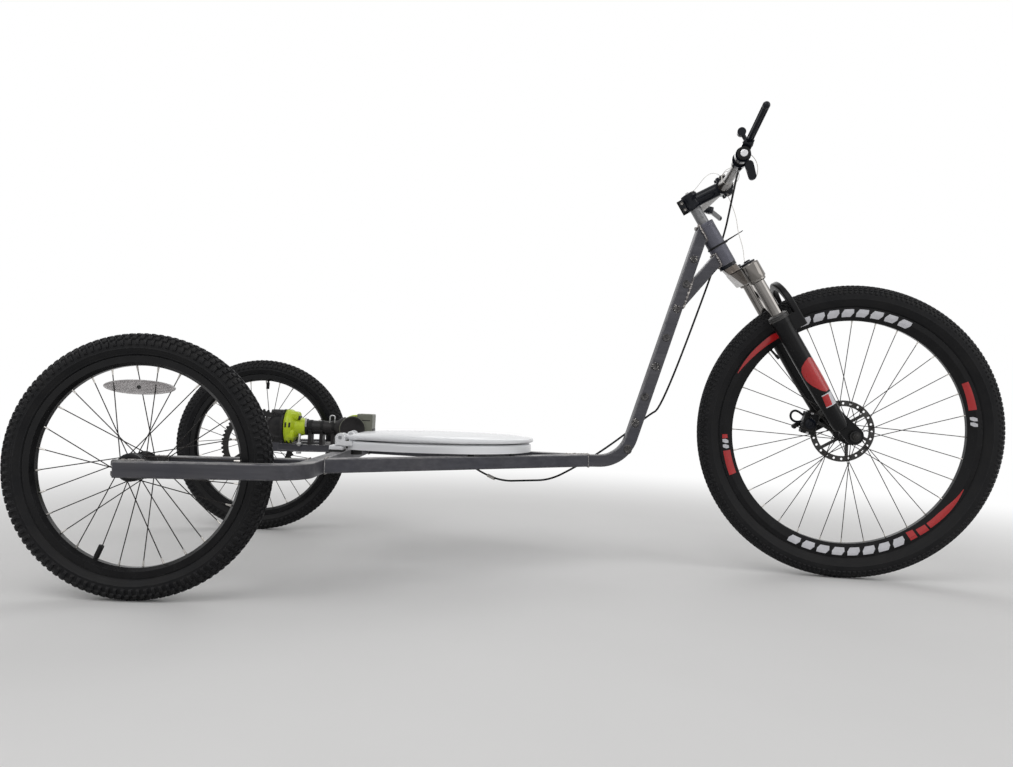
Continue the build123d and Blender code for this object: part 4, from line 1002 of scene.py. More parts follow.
def rim_patch(name, outline, side, proud=0.35):
    """A thin patch on the front rim; outline rows are (angle, inner radius, outer radius)."""
    rows = []
    for before, after in zip(outline, outline[1:]):
        steps = max(1, ceil(abs(after[0] - before[0]) / 1.5))
        rows += [tuple(b + (a - b) * i / steps for a, b in zip(after, before)) for i in range(steps)]
    rows.append(outline[-1])
    bpy.ops.object.select_all(action="DESELECT")
    bpy.ops.mesh.primitive_grid_add(x_subdivisions=len(rows) - 1, y_subdivisions=5, size=2)
    piece = started(name)
    for vertex in piece.data.vertices:
        angle, low, high = rows[round((vertex.co.x + 1) / 2 * (len(rows) - 1))]
        radius = low + (high - low) * (vertex.co.y + 1) / 2
        spin = radians(angle)
        across = side * (rim_flank(radius) + proud)
        vertex.co = mm(radius * cos(spin), across, radius * sin(spin))
    return smooth(placed(walled(piece, 0.3 * MM), front_wheel))


def slanted_bars(name, start, step, count, share, low, high, slant):
    """A row of slanted bars along the rim, leaning like a racing stripe."""
    bars = []
    for side in (-1, 1):
        for index in range(count):
            angle = start + index * step
            middle = (low + high) / 2
            bars.append(rim_patch(f"bar_{side}_{index}", [
                (angle, middle + 0.2, high), (angle + slant, low, high), (angle + step * share, low, high),
                (angle + step * share + slant, low, middle - 0.2)], side))
    return joined(name, bars)


STRIPES = (
    ((-55.5, 308, 309), (-61, 304, 312), (-66.5, 299, 313), (-72, 296.5, 312.5), (-78.8, 296.5, 311)),
    ((-79.8, 296, 312.5), (-84.6, 294.5, 311.5)),
    ((-85.9, 291, 311.5), (-89.3, 289.5, 311)),
    ((121.5, 312.5, 313.5), (116, 308.5, 315.5), (110, 304.5, 316), (104, 301, 315.5), (98, 298, 315),
     (94.6, 297, 311)),
    ((151.5, 297, 310), (153.5, 296.5, 310.5)), ((159.5, 292.5, 311), (171.5, 292.5, 311)),
    ((-4, 294, 309), (-17.5, 291, 308)))
patches = [rim_patch(f"stripe_{index}_{side}", outline, side)
           for index, outline in enumerate(STRIPES) for side in (-1, 1)]
finished(joined("rim_stripes", patches), "front_wheel", "black_rim", "red_decal")
bars = [slanted_bars("bars_top", 33, 6.6, 8, 0.62, 294, 313, 1.4),
        slanted_bars("bars_bottom", -147, 7.1, 8, 0.62, 293, 312, 1.4),
        slanted_bars("bars_front", -25.5, 2.6, 2, 0.5, 291, 306, 0.8),
        slanted_bars("bars_rear", 153.8, 2.6, 2, 0.5, 295, 310, 0.8)]
finished(joined("rim_bars", bars), "front_wheel", "black_rim", "white_decal")
print("rim decals placed")

# %% [markdown]
# Hubs. A real hub shell is a lathe part: a narrow waist that flares out to two thin flanges, then
# steps down to the bearing ends. Each one is spun from half an outline, mirrored. The right rear
# hub also carries a toothed freewheel, turned here as a stepped drum with a notched face.

# %% Hub shells
def hub_outline(half, body, waist, flange, flange_y, bore):
    """A closed outline from the left bearing end to the right one, as (radius, along)."""
    side = [(waist, 0), (waist * 1.04, flange_y * 0.35), (body, flange_y * 0.7),
            (flange * 0.72, flange_y - 3.5), (flange - 0.8, flange_y - 1.6),
            (flange, flange_y - 0.8), (flange, flange_y + 0.8),
            (flange - 0.8, flange_y + 1.6), (body + 2.5, flange_y + 2.4), (body, flange_y + 5),
            (body, half - 7), (body - 2.2, half - 6), (body - 2.2, half - 1), (body - 3.4, half),
            (bore, half)]
    outline = [(r, -y) for r, y in reversed(side[1:])] + side
    return [(r * MM, y * MM) for r, y in outline]


HUBS = (("front", 47, 15, 12, 27, 27, front_wheel), ("right", 50, 17, 13, 27, 26, right_wheel),
        ("left", 50, 17, 13, 27, 26, left_wheel))
for label, half, body, waist, flange, flange_y, place in HUBS:
    shell = spun(f"{label}_hub_shell", hub_outline(half, body, waist, flange, flange_y, 5.4), 48, place)
    parts = [shell]
    if label == "right":
        steps = [(17, -28), (25, -28.5), (26.5, -30), (26.5, -33), (24, -33.4), (24, -36), (26.5, -36.4),
                 (26.5, -40.5), (23.5, -42), (19, -42.2), (18, -41), (17, -41)]
        parts.append(spun("freewheel", metres(steps), 36, place))
    bolts = copies(f"{label}_rotor_bolts", drum("bolt", 2.6 * MM, 3 * MM, (0, 0, 0), "Y", 10),
                   around(6, 19 * MM, (30 if label == "front" else -29.2) * MM, 0, place))
    parts.append(bolts)
    finished(joined(f"{label}_hub_body", parts), f"{label}_wheel", "black_metal")
    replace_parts(bpy.data.objects[f"{label}_hub_body"], f"{label}_hub")
print("hubs turned")

# %% [markdown]
# The fork's legs are magnesium castings. The CAD legs are plain tapered rods; the real ones stay
# thick down to the decals, with a ribbed collar round the wiper seal at the top. A turned sleeve
# round each leg gives that shape, and the arch of the CAD casting stays.

# %% Fork legs, seals and crown sleeves
LEGS = ((33, -66), (33, 66))
LEG_OUTLINE = (
    (-177.8, 16), (-177.8, 22.6), (-180, 23.4), (-190, 23.4), (-193, 22.6), (-215, 22.3), (-300, 22.5),
    (-350, 22.4), (-395, 21.4), (-430, 20.2), (-455, 19.6),
    (-474, 18.6), (-485, 16.6), (-488, 13), (-488, 0.6))
SEAL_OUTLINE = (
    (-178.4, 16), (-178.4, 24.4), (-175.6, 25.4), (-174.8, 23.6), (-172.8, 23.6),
    (-172, 25.2), (-170.6, 25.2), (-169.8, 23.2), (-168.4, 23.2), (-167.6, 24.6),
    (-166.2, 24), (-165, 19.6), (-163, 17), (-163, 15.2))
CROWN_SLEEVE = (
    (-64.5, 15.4), (-64.5, 20.5), (-63.6, 23.2), (-62, 23.9), (-25, 23.9), (-22.6, 23.2),
    (-21.2, 21.4), (-20.6, 18.6), (-20.2, 16.5), (-20.2, 15.4))
CAP_OUTLINE = (
    (-22, 0.4), (-22, 17.6), (-18, 18.2), (-16.4, 17.4), (-15.4, 14.8), (-15.4, 8.6), (-12.6, 8.2),
    (-11.6, 6.8), (-11.6, 0.4))
BUSHING = ((-63.5, 15.2), (-63.5, 20.6), (-65, 21.2), (-69, 21), (-71.5, 18.6), (-71.5, 15.2))


def upright(leg, outline):
    """A turned part round one leg: its outline is (height, radius) in the fork's frame."""
    x, y = leg
    place = fork @ Matrix.Translation(mm(x, y, 0)) @ Matrix.Rotation(pi / 2, 4, "X")
    return [(radius * MM, height * MM) for height, radius in outline], place


def leg_set(name, outline, slot, material=None, steps=40, legs=LEGS):
    """The same turned part round each leg."""
    parts = []
    for index, leg in enumerate(legs):
        profile, place = upright(leg, outline)
        parts.append(spun(f"{name}_{index}", profile, steps, place))
    return finished(joined(name, parts), "steering", slot, material)


leg_set("fork_leg_castings", LEG_OUTLINE, "satin_black")
leg_set("wiper_seals", SEAL_OUTLINE, "soft_black", "seal_rubber")
# The two crown sleeves are one part, finished as a lit and a shaded copy: the near one in chrome for a painted
# highlight, the far one in the darker cast finish.
leg_set("crown_sleeve_near", CROWN_SLEEVE, "chrome", "dark_chrome", 48, LEGS[:1])
leg_set("crown_sleeve_far", CROWN_SLEEVE, "cast_crown", None, 48, LEGS[1:])
leg_set("crown_bushings", BUSHING, "chrome", "dark_chrome")
leg_set("stanchion_caps", CAP_OUTLINE, "cast_crown", "gloss_black")
print("fork turned parts placed")

# %% [markdown]
# Leg decals: a red lozenge and a small red and white sticker wrap round the outer face of the
# right leg. A grid is bent round the leg: its rows are heights, and its columns are angles.

# %% Leg decals
def leg_radius(height):
    """Radius of the leg casting at a height, from its outline."""
    spots = LEG_OUTLINE[1:]
    for (high, r_high), (low, r_low) in zip(spots, spots[1:]):
        if low <= height <= high and high > low:
            return r_high + (r_low - r_high) * (high - height) / (high - low)
    return 20


def leg_patch(name, rows, material, proud=0.4):
    """A thin patch on the right leg; rows are (height, first angle, last angle)."""
    bpy.ops.object.select_all(action="DESELECT")
    bpy.ops.mesh.primitive_grid_add(x_subdivisions=14, y_subdivisions=4 * (len(rows) - 1), size=2)
    piece = started(name)
    for vertex in piece.data.vertices:
        spot = (vertex.co.y + 1) / 2 * (len(rows) - 1)
        index = min(int(spot), len(rows) - 2)
        height, first, last = (b + (a - b) * (spot - index) for a, b in zip(rows[index + 1], rows[index]))
        angle = radians(first + (last - first) * (vertex.co.x + 1) / 2)
        radius = leg_radius(height) + proud
        vertex.co = mm(33 + radius * cos(angle), -66 + radius * sin(angle), height)
    patch = smooth(placed(walled(piece, 0.35 * MM, 0), fork))
    return finished(patch, "steering", "satin_black", material)


leg_patch("red_lozenge", (
    (-291, -66, -58), (-295, -92, -36), (-304, -126, -26), (-316, -146, -20), (-328, -152, -16),
    (-342, -146, -12), (-356, -128, -10), (-368, -108, -12), (-378, -90, -18),
    (-384, -70, -34)), "red_decal")
leg_patch("sticker_red", ((-391, -108, -64), (-419, -118, -74)), "red_decal")
leg_patch("sticker_white", ((-391, -64, -34), (-419, -74, -40)), "white_decal")
leg_patch("sticker_edge_top", ((-388.6, -110, -33), (-391, -109, -34)), "white_decal", 0.45)
leg_patch("sticker_edge_low", ((-419, -119, -40), (-421.2, -120, -41)), "white_decal", 0.45)
leg_patch("pale_mark", ((-372, -12, -4), (-386, -30, -12)), "white_decal", 0.3)
print("leg decals placed")

# %% [markdown]
# Stem and bar. The stem is forged: a pinch clamp behind the steerer with two bolts, a top cap,
# and a faceplate with four bolts that holds the bar. Bolts are socket heads: a drum whose top
# face is inset and pushed in.

# %% Stem, faceplate and bolts
def socket_bolt(name, radius, height, shank_radius, shank_length):
    """A cap screw along Z, its head's underside at the origin."""
    cap = drum("cap", radius, height, (0, 0, height / 2), "Z", 20)
    pick(cap, lambda centre, normal: normal.z > 0.9)
    bpy.ops.mesh.inset(thickness=radius * 0.42)
    bpy.ops.transform.translate(value=(0, 0, -height * 0.6))
    done()
    rounded(cap, radius * 0.12)
    shank = drum("shank", shank_radius, shank_length, (0, 0, -shank_length / 2), "Z", 12)
    return joined(name, [cap, shank])


def aimed(origin, direction):
    """A place whose Z looks along a direction."""
    matrix = Vector(direction).to_track_quat("Z", "Y").to_matrix().to_4x4()
    matrix.translation = Vector(origin)
    return matrix


STEM_LOW, STEM_HIGH = 167, 205
BAR_X, BAR_Z = 84.8, 180.07
ears = block("ears", mm(13, 20, 33), mm(-24.5, 0, 186))
pick(ears, lambda centre, normal: normal.x < -0.9)
bpy.ops.transform.resize(value=(1, 0.72, 0.8))
done()
rounded(ears, 2.2 * MM, 3)
slit = block("slit", mm(15, 1.6, 38.6), mm(-26, 0, 186))
cap_profile = [(r * MM, z * MM) for r, z in (
    (0.4, STEM_HIGH), (19, STEM_HIGH), (19.6, STEM_HIGH + 1), (18.6, STEM_HIGH + 4), (15, STEM_HIGH + 5.2),
    (8, STEM_HIGH + 5.6), (7.4, STEM_HIGH + 4), (0.4, STEM_HIGH + 4))]
upright_place = Matrix.Rotation(pi / 2, 4, "X")
top_cap = spun("top_cap", cap_profile, 40, upright_place)
band_profile = [(r * MM, z * MM) for r, z in (
    (20, STEM_LOW - 0.2), (21.2, STEM_LOW + 0.6), (21.6, STEM_LOW + 5), (21, STEM_LOW + 8),
    (20.2, STEM_LOW + 12), (20.2, STEM_HIGH - 12), (21, STEM_HIGH - 8), (21.6, STEM_HIGH - 4),
    (21, STEM_HIGH + 0.2), (18, STEM_HIGH + 0.2), (18, STEM_LOW - 0.2))]
band = spun("clamp_band", band_profile, 48, upright_place)
face_profile = [(r * MM, y * MM) for r, y in (
    (16, -19), (22.4, -19), (23.4, -17.6), (23.4, -9), (22.2, -7.4), (22.2, 7.4), (23.4, 9),
    (23.4, 17.6), (22.4, 19), (16, 19))]
face = spun("faceplate", face_profile, 48, Matrix.Translation(mm(BAR_X, 0, BAR_Z)))
open_all(face)
bpy.ops.mesh.bisect(plane_co=((BAR_X + 2.5) * MM, 0, 0), plane_no=(1, 0, 0), use_fill=True,
                    clear_inner=True)
done()
smooth(face, 35)
lugs = []
for side in (-1, 1):
    for rise in (-1, 1):
        lug = block("lug", mm(11, 9.5, 9), mm(BAR_X + 6, side * 13, BAR_Z + rise * 22.5))
        lugs.append(rounded(lug, 2.2 * MM, 3))
        lug = block("lug", mm(9, 9.5, 9), mm(BAR_X - 5.6, side * 13, BAR_Z + rise * 22))
        lugs.append(rounded(lug, 2.2 * MM, 3))
stem_dress = joined("stem_dress", [ears, top_cap, band, face, *lugs])
finished(placed(stem_dress, fork), "steering", "gloss_black")
finished(placed(slit, fork), "steering", "soft_black")
face_bolts = [fork @ aimed(mm(BAR_X + 11.5, side * 13, BAR_Z + rise * 22.5), (1, 0, 0))
              for side in (-1, 1) for rise in (-1, 1)]
pinch_bolts = [fork @ aimed(mm(-25.5, -9.6, z), (0, -1, 0)) for z in (177, 195)]
pinch_bolts += [fork @ aimed(mm(-25.5, 9.6, z), (0, 1, 0)) for z in (177, 195)]
top_bolt = [fork @ aimed(mm(0, 0, STEM_HIGH + 4), (0, 0, 1))]
bolt_model = socket_bolt("bolt", 4.3 * MM, 4.6 * MM, 2.6 * MM, 16 * MM)
stem_bolts = copies("stem_bolts", bolt_model, face_bolts + pinch_bolts + top_bolt)
finished(stem_bolts, "steering", "zinc_steel", "chrome")
print("stem dressed")

# %% [markdown]
# Bar ends, levers and wires. Each bare bar end is closed by a black ring round a bright plug. The
# lever blades end in a ball, a pivot screw goes through each perch, and two loose loops of thin
# wire lie round the bar, left over from fitting the throttle.

# %% Bar ends, lever details and wire loops
def bar_frame(side):
    """Place at the bar's end, Z along the bar outwards."""
    tip = Vector((BAR_X - sin(radians(1.6)) * 372, side * cos(radians(1.6)) * 374.4, BAR_Z + 7)) * MM
    root = mm(BAR_X, side * 76, BAR_Z)
    return tip, (tip - root).normalized()


LEVER_PITCH = {-1: radians(38), 1: radians(-40)}
BLADE_LEAN = radians(25)


def lever_lines(side):
    """A lever's pivot, the way outwards from the bar, and its blade's direction."""
    tip, run = bar_frame(side)
    outward = Vector((cos(LEVER_PITCH[side]), 0, sin(LEVER_PITCH[side])))
    pivot = tip - run * 21 * MM + outward * 26 * MM
    return pivot, outward, run * cos(BLADE_LEAN) + outward * sin(BLADE_LEAN)


RING = ((7.4, -3.4), (12.4, -3.4), (13.4, -2.4), (13.4, -0.6), (12, 0), (8.6, 0), (7.4, -0.6))
PLUG = ((0.3, -3), (10.6, -3), (8.6, -1.4), (7, -0.2), (5.4, 0.1), (0.3, 0.3))
rings, plugs, screws, balls = [], [], [], []
for side in (-1, 1):
    tip, run = bar_frame(side)
    spot = fork @ aimed(tip, run) @ Matrix.Rotation(pi / 2, 4, "X")
    rings.append(spun(f"end_ring_{side}", metres(RING), 32, spot))
    plugs.append(spun(f"end_plug_{side}", metres(PLUG), 32, spot))
    pivot, outward, blade = lever_lines(side)
    across = outward.cross(run).normalized()
    screws.append(fork @ aimed(pivot + across * 9 * MM, across))
    screws.append(fork @ aimed(pivot - across * 9 * MM, -across))
    ball_outline = [(7.6 * sin(radians(a)) + 0.05, -7.6 * cos(radians(a))) for a in range(0, 181, 15)]
    ball_place = fork @ aimed(pivot + blade * 118 * MM, blade) @ Matrix.Rotation(pi / 2, 4, "X")
    balls.append(spun(f"ball_{side}", metres(ball_outline), 24, ball_place))
    web_outline = [(0.3, -10), (10.6, -10), (11.2, -8), (11.2, 8), (10.6, 10), (0.3, 10)]
    hub_place = fork @ aimed(pivot, across) @ Matrix.Rotation(pi / 2, 4, "X")
    balls.append(spun(f"pivot_{side}", metres(web_outline), 28, hub_place))
finished(joined("bar_end_rings", rings), "steering", "soft_black")
finished(joined("bar_end_plugs", plugs), "steering", "chrome", "bright_dot")
finished(joined("lever_ends", balls), "steering", "gloss_black")
finished(copies("lever_screws", socket_bolt("bolt", 3.6 * MM, 2.4 * MM, 2 * MM, 6 * MM), screws),
         "steering", "zinc_steel")


def wire_loop(name, y, radius, tilt, turn, offset=(0, 0, 0)):
    """A loose closed loop round the right half of the bar."""
    middle = Vector((BAR_X - abs(y) * 0.028, y, BAR_Z + abs(y) * 0.019)) + Vector(offset)
    points = []
    for index in range(10):
        a = 2 * pi * index / 10
        points.append(Vector((radius * cos(a), tilt * sin(a + turn), radius * sin(a))) + middle)
    return piped(name, [p * MM for p in points], 0.6 * MM, fork, 4, 2, True)


loops = [wire_loop("loop_a", -118, 18, 9, 0.4), wire_loop("loop_b", -136, 20, -7, 1.2, (2, 0, -2)),
         piped("loop_c", [mm(*p) for p in (
             (86, -40, 198), (78, -52, 214), (62, -58, 222), (40, -50, 218), (22, -34, 208),
             (8, -22, 206))], 0.55 * MM, fork, 4, 2)]
finished(joined("wire_loops", loops), "steering", "bright_wire")
wire_guard = piped("paddle_wire", [mm(*p) for p in (
    (98, -316, 186), (103, -318, 172), (101, -318, 154), (92, -316, 140),
    (84, -312, 134))], 0.7 * MM, fork, 4, 2)
finished(wire_guard, "steering", "bright_wire")
print("bar dressed")

# %% [markdown]
# Weld beads. A hand-laid weld is a row of small overlapping coins of metal. One low-poly bead is
# copied along each seam, with a little scatter in its size and place from a seeded generator, so
# every run gives the same result. Seams on the round head tube are found by sliding each point of
# the square tube's outline along the tube until it meets the cylinder.

# %% Weld beads
dice = Random(7)
BEAD_STEP = 2.9 * MM


def bead():
    """One coin of weld metal, flattened, lying along X."""
    bpy.ops.object.select_all(action="DESELECT")
    bpy.ops.mesh.primitive_ico_sphere_add(subdivisions=1, radius=1)
    piece = started("bead")
    piece.scale = mm(2.7, 3.3, 1.9)
    bpy.ops.object.transform_apply(location=False, rotation=False, scale=True)
    return piece


def seam_places(points, closed=False, girth=1.0):
    """Places along a seam, local X along it, with seeded scatter."""
    places = []
    runs = list(zip(points, points[1:] + points[:1] if closed else points[1:]))
    for start, end in runs:
        along = end - start
        if along.length < 0.5 * MM:
            continue
        for index in range(max(1, round(along.length / BEAD_STEP))):
            spot = start + along * (index + 0.5) / max(1, round(along.length / BEAD_STEP))
            turn = along.to_track_quat("X", "Z").to_matrix().to_4x4()
            size = girth * (0.85 + 0.3 * dice.random())
            wobble = Vector([0.5 * (dice.random() - 0.5) for _ in range(3)]) * MM
            turn.translation = spot + wobble
            places.append(turn @ Matrix.Scale(size, 4) @ Matrix.Rotation(dice.random(), 4, "X"))
    return places


def square_outline(centre, along, side, half=15.2):
    """Corners and edge points of a square tube's section."""
    u = Vector(side).normalized()
    w = Vector(along).normalized().cross(u)
    points = []
    corners = [(-1, -1), (1, -1), (1, 1), (-1, 1)]
    for (a, b), (c, d) in zip(corners, corners[1:] + corners[:1]):
        for step in range(6):
            share = step / 6
            spot = u * (a + (c - a) * share) + w * (b + (d - b) * share)
            points.append(Vector(centre) + spot * half * MM)
    return points


def slid_to_head(points, along, radius=23.3):
    """Slide points along a direction until they meet the head tube's surface."""
    inverse = head.inverted()
    direction = (inverse.to_3x3() @ Vector(along)).normalized()
    result = []
    for point in points:
        p = inverse @ point
        a = direction.x ** 2 + direction.y ** 2
        b = 2 * (p.x * direction.x + p.y * direction.y)
        c = p.x ** 2 + p.y ** 2 - (radius * MM) ** 2
        root = b * b - 4 * a * c
        if root > 0:
            result.append(head @ (p + direction * (-b - sqrt(root)) / (2 * a)))
    return result


riser_top = mm(1200.28, 0, 886.088) + Vector((rear_axle_x, 0, 0))
brace_start = riser_top - riser_up * ((886.088 - 674) / sin(RISER_ANGLE)) * MM
brace_end = in_frame(head, (0, 0, 32))
brace_dir = (brace_end - brace_start).normalized()
SIDEWAYS = (0, 1, 0)
seams = []
for start, run, girth in ((riser_top - riser_up * 80 * MM, riser_up, 1.6),
                          (brace_end - brace_dir * 70 * MM, brace_dir, 1.5)):
    seam_points = slid_to_head(square_outline(start, run, SIDEWAYS), run)
    seams.append(seam_places(seam_points, True, girth))
for side in (-1, 1):
    edge = []
    for sign in (-1, 1):
        start = brace_start + brace_dir.cross(Vector((0, 1, 0))).normalized() * sign * 15 * MM
        reach = (riser_ahead.dot(riser_corner - start) + 15.3 * MM) / riser_ahead.dot(brace_dir)
        edge.append(start + brace_dir * reach + Vector((0, side * 15.3 * MM, 0)))
    seams.append(seam_places(edge, False, 1.3))


def deck_points(*points):
    """Points given in millimetres in the deck's frame."""
    return [in_frame(deck, point) for point in points]


joint_corners = [(JOINT_X, a * 15.2, b * 15.2) for a, b in ((-1, -1), (1, -1), (1, 1), (-1, 1))]
seams.append(seam_places(deck_points(*joint_corners), True))
for side in (-1, 1):
    seams.append(seam_places(deck_points((JOINT_X - 58, 0, 15.3), (JOINT_X, 0, 15.3))))
    for z in (-15.3, 15.3):
        seams.append(seam_places(deck_points((335.4, side * 310, z), (335.4, side * 343, z))))
        seams.append(seam_places(deck_points((304.8, side * 340, z), (304.8, side * 370, z))))
    for y in (310, 343):
        seams.append(seam_places(deck_points((335.4, side * y, -15), (335.4, side * y, 15))))
    for y in (339.5, 370.5):
        seams.append(seam_places(deck_points((304.8, side * y, -15), (304.8, side * y, 15))))
for side in (-1, 1):
    for rail, wheel in ((505, -1), (355, 1)):
        seam_y = side * (rail + wheel * 17)
        for z in (-16, 16):
            seams.append(seam_places(deck_points((-8, seam_y, z * 0.97), (33, seam_y, z * 0.97))))
beads = copies("weld_beads", bead(), [place for seam in seams for place in seam])
finished(beads, "frame", "bare_tube", "weld_steel")
print("weld beads:", sum(len(seam) for seam in seams))

# %% [markdown]
# Plug marks. The riser was once part of something else: a row of old holes has been filled with
# weld and ground off, leaving a rough ring with a dark middle. Each mark is
# turned as a low ring round a shallow dish and repeated up the tube, on both of its sides.

# %% Plug marks on the riser
PLUG_MARKS = (
    (32, -0.6), (100.8, -3.5), (170.3, -2.6), (251.8, -2.3), (329.2, -1), (407, 0.2), (474.5, 2.7),
    (541, 0.5))
MARK_OUTLINE = (
    (0.2, -0.4), (0.2, 0.35), (3.4, 0.2), (5.6, 0.45), (6.6, 1.25), (7.8, 1.5), (9, 1.05), (10, 0.25),
    (10.2, -0.4))
SPATTER_COUNT = 150
SPATTER_REACH = 13
marks = []
for side in (-1, 1):
    for index, (up, ahead) in enumerate(PLUG_MARKS):
        spot = Matrix.Translation(on_riser(up, side * 15, ahead))
        stretch = Matrix.Diagonal((0.84 + 0.24 * dice.random(), side, 0.95 + 0.3 * dice.random(), 1))
        tilt = Matrix.Rotation(dice.random() * 3, 4, "Y")
        marks.append(spun(f"mark_{side}_{index}", metres(MARK_OUTLINE), 18, spot @ tilt @ stretch))
finished(joined("plug_marks", marks), "frame", "bare_tube", "plug_steel")
spatter_places = []
for index in range(SPATTER_COUNT):
    side = -1 if index % 2 else 1
    up, ahead = PLUG_MARKS[index % len(PLUG_MARKS)]
    angle, reach = dice.random() * 2 * pi, 5 + 7 * dice.random()
    beside = min(max(ahead + reach * cos(angle), -SPATTER_REACH), SPATTER_REACH)
    spot = Matrix.Translation(on_riser(up + reach * sin(angle), side * 15.3, beside))
    spatter_places.append(spot @ Matrix.Scale(0.22 + 0.3 * dice.random(), 4))
finished(copies("weld_spatter", bead(), spatter_places), "frame", "bare_tube", "bright_spatter")
print("plug marks:", len(PLUG_MARKS) * 2)

# %% [markdown]
# Head tube trim. A black cable tie holds the throttle cable to the head tube, its tail left
# long; the upper bearing cup is hidden in a collar of the same grey steel.

# %% Cable tie and collar
TIE_HEIGHT = 56
tie_place = head @ Matrix.Translation((0, 0, TIE_HEIGHT * MM)) @ Matrix.Rotation(pi / 2, 4, "X")
TIE_OUTLINE = ((23.2, -2.3), (24.8, -2.3), (24.8, 2.3), (23.2, 2.3))
tie_ring = spun("tie_ring", metres(TIE_OUTLINE), 48, tie_place)
lock = rounded(block("lock", mm(7, 6, 6.4), mm(22, -12, TIE_HEIGHT)), 0.9 * MM)
tail = block("tail", mm(52, 1.3, 4.4), mm(47, -13.5, TIE_HEIGHT + 0.6))
pick(tail, lambda centre, normal: normal.x > 0.9)
bpy.ops.transform.resize(value=(1, 1, 0.45))
bpy.ops.transform.translate(value=(0, -1.5 * MM, 2.2 * MM))
done()
tie_bits = joined("tie_bits", [lock, tail])
placed(tie_bits, head)
finished(joined("cable_tie", [tie_ring, tie_bits]), "frame", "soft_black")
COLLAR = ((22.6, 113), (23.3, 113), (23.3, 121.6), (22.6, 122.9), (19, 123.3), (19, 122.6))
collar_place = head @ Matrix.Rotation(pi / 2, 4, "X")
finished(spun("head_collar", metres(COLLAR), 48, collar_place), "frame", "head_steel")
print("head tube trimmed")

# %% [markdown]
# Brake details. The mechanical caliper has a round cover on each side with ribs between them, a
# spring loop, a short hose and three screws. These sit round the plain CAD caliper.

# %% Caliper details
CALIPER_X, CALIPER_Z = -9.4, -461.7
RIB_REACH = 19
COVER = (
    (0.3, 0), (15.5, 0), (16.4, 1), (16.4, 7), (15.2, 9), (10, 9.6), (9, 8.2), (4, 8.2), (3.4, 10.5),
    (0.3, 10.5))
BACK_COVER = ((0.3, 0), (13, 0), (13.6, -1), (13.6, -4), (11, -5), (6, -5), (5, -3.6), (0.3, -3.6))
cover = spun("cover", metres(COVER), 28, fork @ Matrix.Translation(mm(CALIPER_X, 60.6, CALIPER_Z)))
back_cover = spun("back_cover", metres(BACK_COVER), 28,
                  fork @ Matrix.Translation(mm(CALIPER_X, 31.4, CALIPER_Z)))
loop_points = [mm(*p) for p in (
    (-8, 58, -448), (-14, 57, -424), (-26, 56, -414), (-40, 55, -422), (-43, 55, -438),
    (-32, 56, -449), (-18, 57, -452))]
spring = piped("spring", loop_points, 3 * MM, fork, 4, 4)
inner_points = [mm(*p) for p in (
    (-4, 50, -430), (-12, 47, -441), (-20, 46, -452), (-24, 46, -468), (-14, 48, -478))]
hose = piped("hose", inner_points, 2.4 * MM, fork, 4, 4)
ribs = copies("ribs", rounded(block("rib", mm(3, 26, 2.4), mm(0, 43, 0)), 0.5 * MM), [
    fork @ Matrix.Translation(mm(CALIPER_X + RIB_REACH * cos(a), 0, CALIPER_Z + RIB_REACH * sin(a)))
    @ Matrix.Rotation(-a, 4, "Y")
    for a in [radians(70 + 26 * i) for i in range(5)]])
finished(joined("caliper_dress", [cover, back_cover, spring, hose, ribs]), "steering", "gloss_black")
bolt_model = socket_bolt("bolt", 3.6 * MM, 3 * MM, 2 * MM, 6 * MM)
finished(copies("caliper_bolts", bolt_model, [
    fork @ aimed(mm(x, 30.4, z), (0, -1, 0)) for x, z in ((8, -440), (-28, -478), (-2, -452))]),
    "steering", "zinc_steel")
print("caliper dressed")

# %% [markdown]
# The front axle ends in a hexagon nut on a washer, with the axle's tip showing. The rear axles
# show a round tip and a thin ring outside each rail plate.

# %% Axle nuts
WASHER = ((4.6, 69.1), (13.4, 69.1), (13.4, 70.4), (4.6, 70.4))
axle_bits = []
for side in (-1, 1):
    washer_outline = [(r * MM, side * y * MM) for r, y in WASHER]
    washer = spun(f"washer_{side}", washer_outline, 28, front_wheel)
    nut = drum(f"nut_{side}", 9.2 * MM, 6.4 * MM, (0, side * 73.4 * MM, 0), "Y", 6)
    rounded(nut, 0.8 * MM)
    end = drum(f"end_{side}", 4.6 * MM, 12 * MM, (0, side * 74.2 * MM, 0), "Y", 20)
    rounded(end, 0.6 * MM)
    axle_bits += [washer, placed(nut, front_wheel), placed(end, front_wheel)]
finished(joined("front_axle_nuts", axle_bits), "steering", "zinc_steel", "dark_steel")
rear_bits = []
for side, place in ((-1, right_wheel), (1, left_wheel)):
    for end in (-1, 1):
        tip = rounded(drum("tip", 4.8 * MM, 9 * MM, (0, end * 70.5 * MM, 0), "Y", 16), 0.7 * MM)
        ring = drum("ring", 10.4 * MM, 1.6 * MM, (0, end * 60.9 * MM, 0), "Y", 28)
        rear_bits += [placed(tip, place), placed(rounded(ring, 0.4 * MM), place)]
finished(joined("rear_axle_ends", rear_bits), "frame", "zinc_steel")
print("axle ends placed")

# %% [markdown]
# The motor. The CAD gives its main volumes; this dresses them. The lime housing is turned as a
# bulging drum that narrows to the neck, with a raised lobe on top and two vent slots on its side.
# The gear head gets a flange, fins, a round bearing cover and four screws.

# %% Motor housing
TOOL_Y, TOOL_Z = 222, 319.4
tool_axis = Matrix.Translation(mm(rear_axle_x / MM, TOOL_Y, TOOL_Z)) @ Matrix.Rotation(-pi / 2, 4, "Z")


def along_tool(outline):
    """Outline points (distance ahead of the rear axle, radius) made metres for spinning."""
    return [(radius * MM, ahead * MM) for ahead, radius in outline]


def tool_point(x, y, z):
    """A point by its distance ahead of the rear axle, sideways and height."""
    return Vector((rear_axle_x, 0, 0)) + mm(x, y, z)


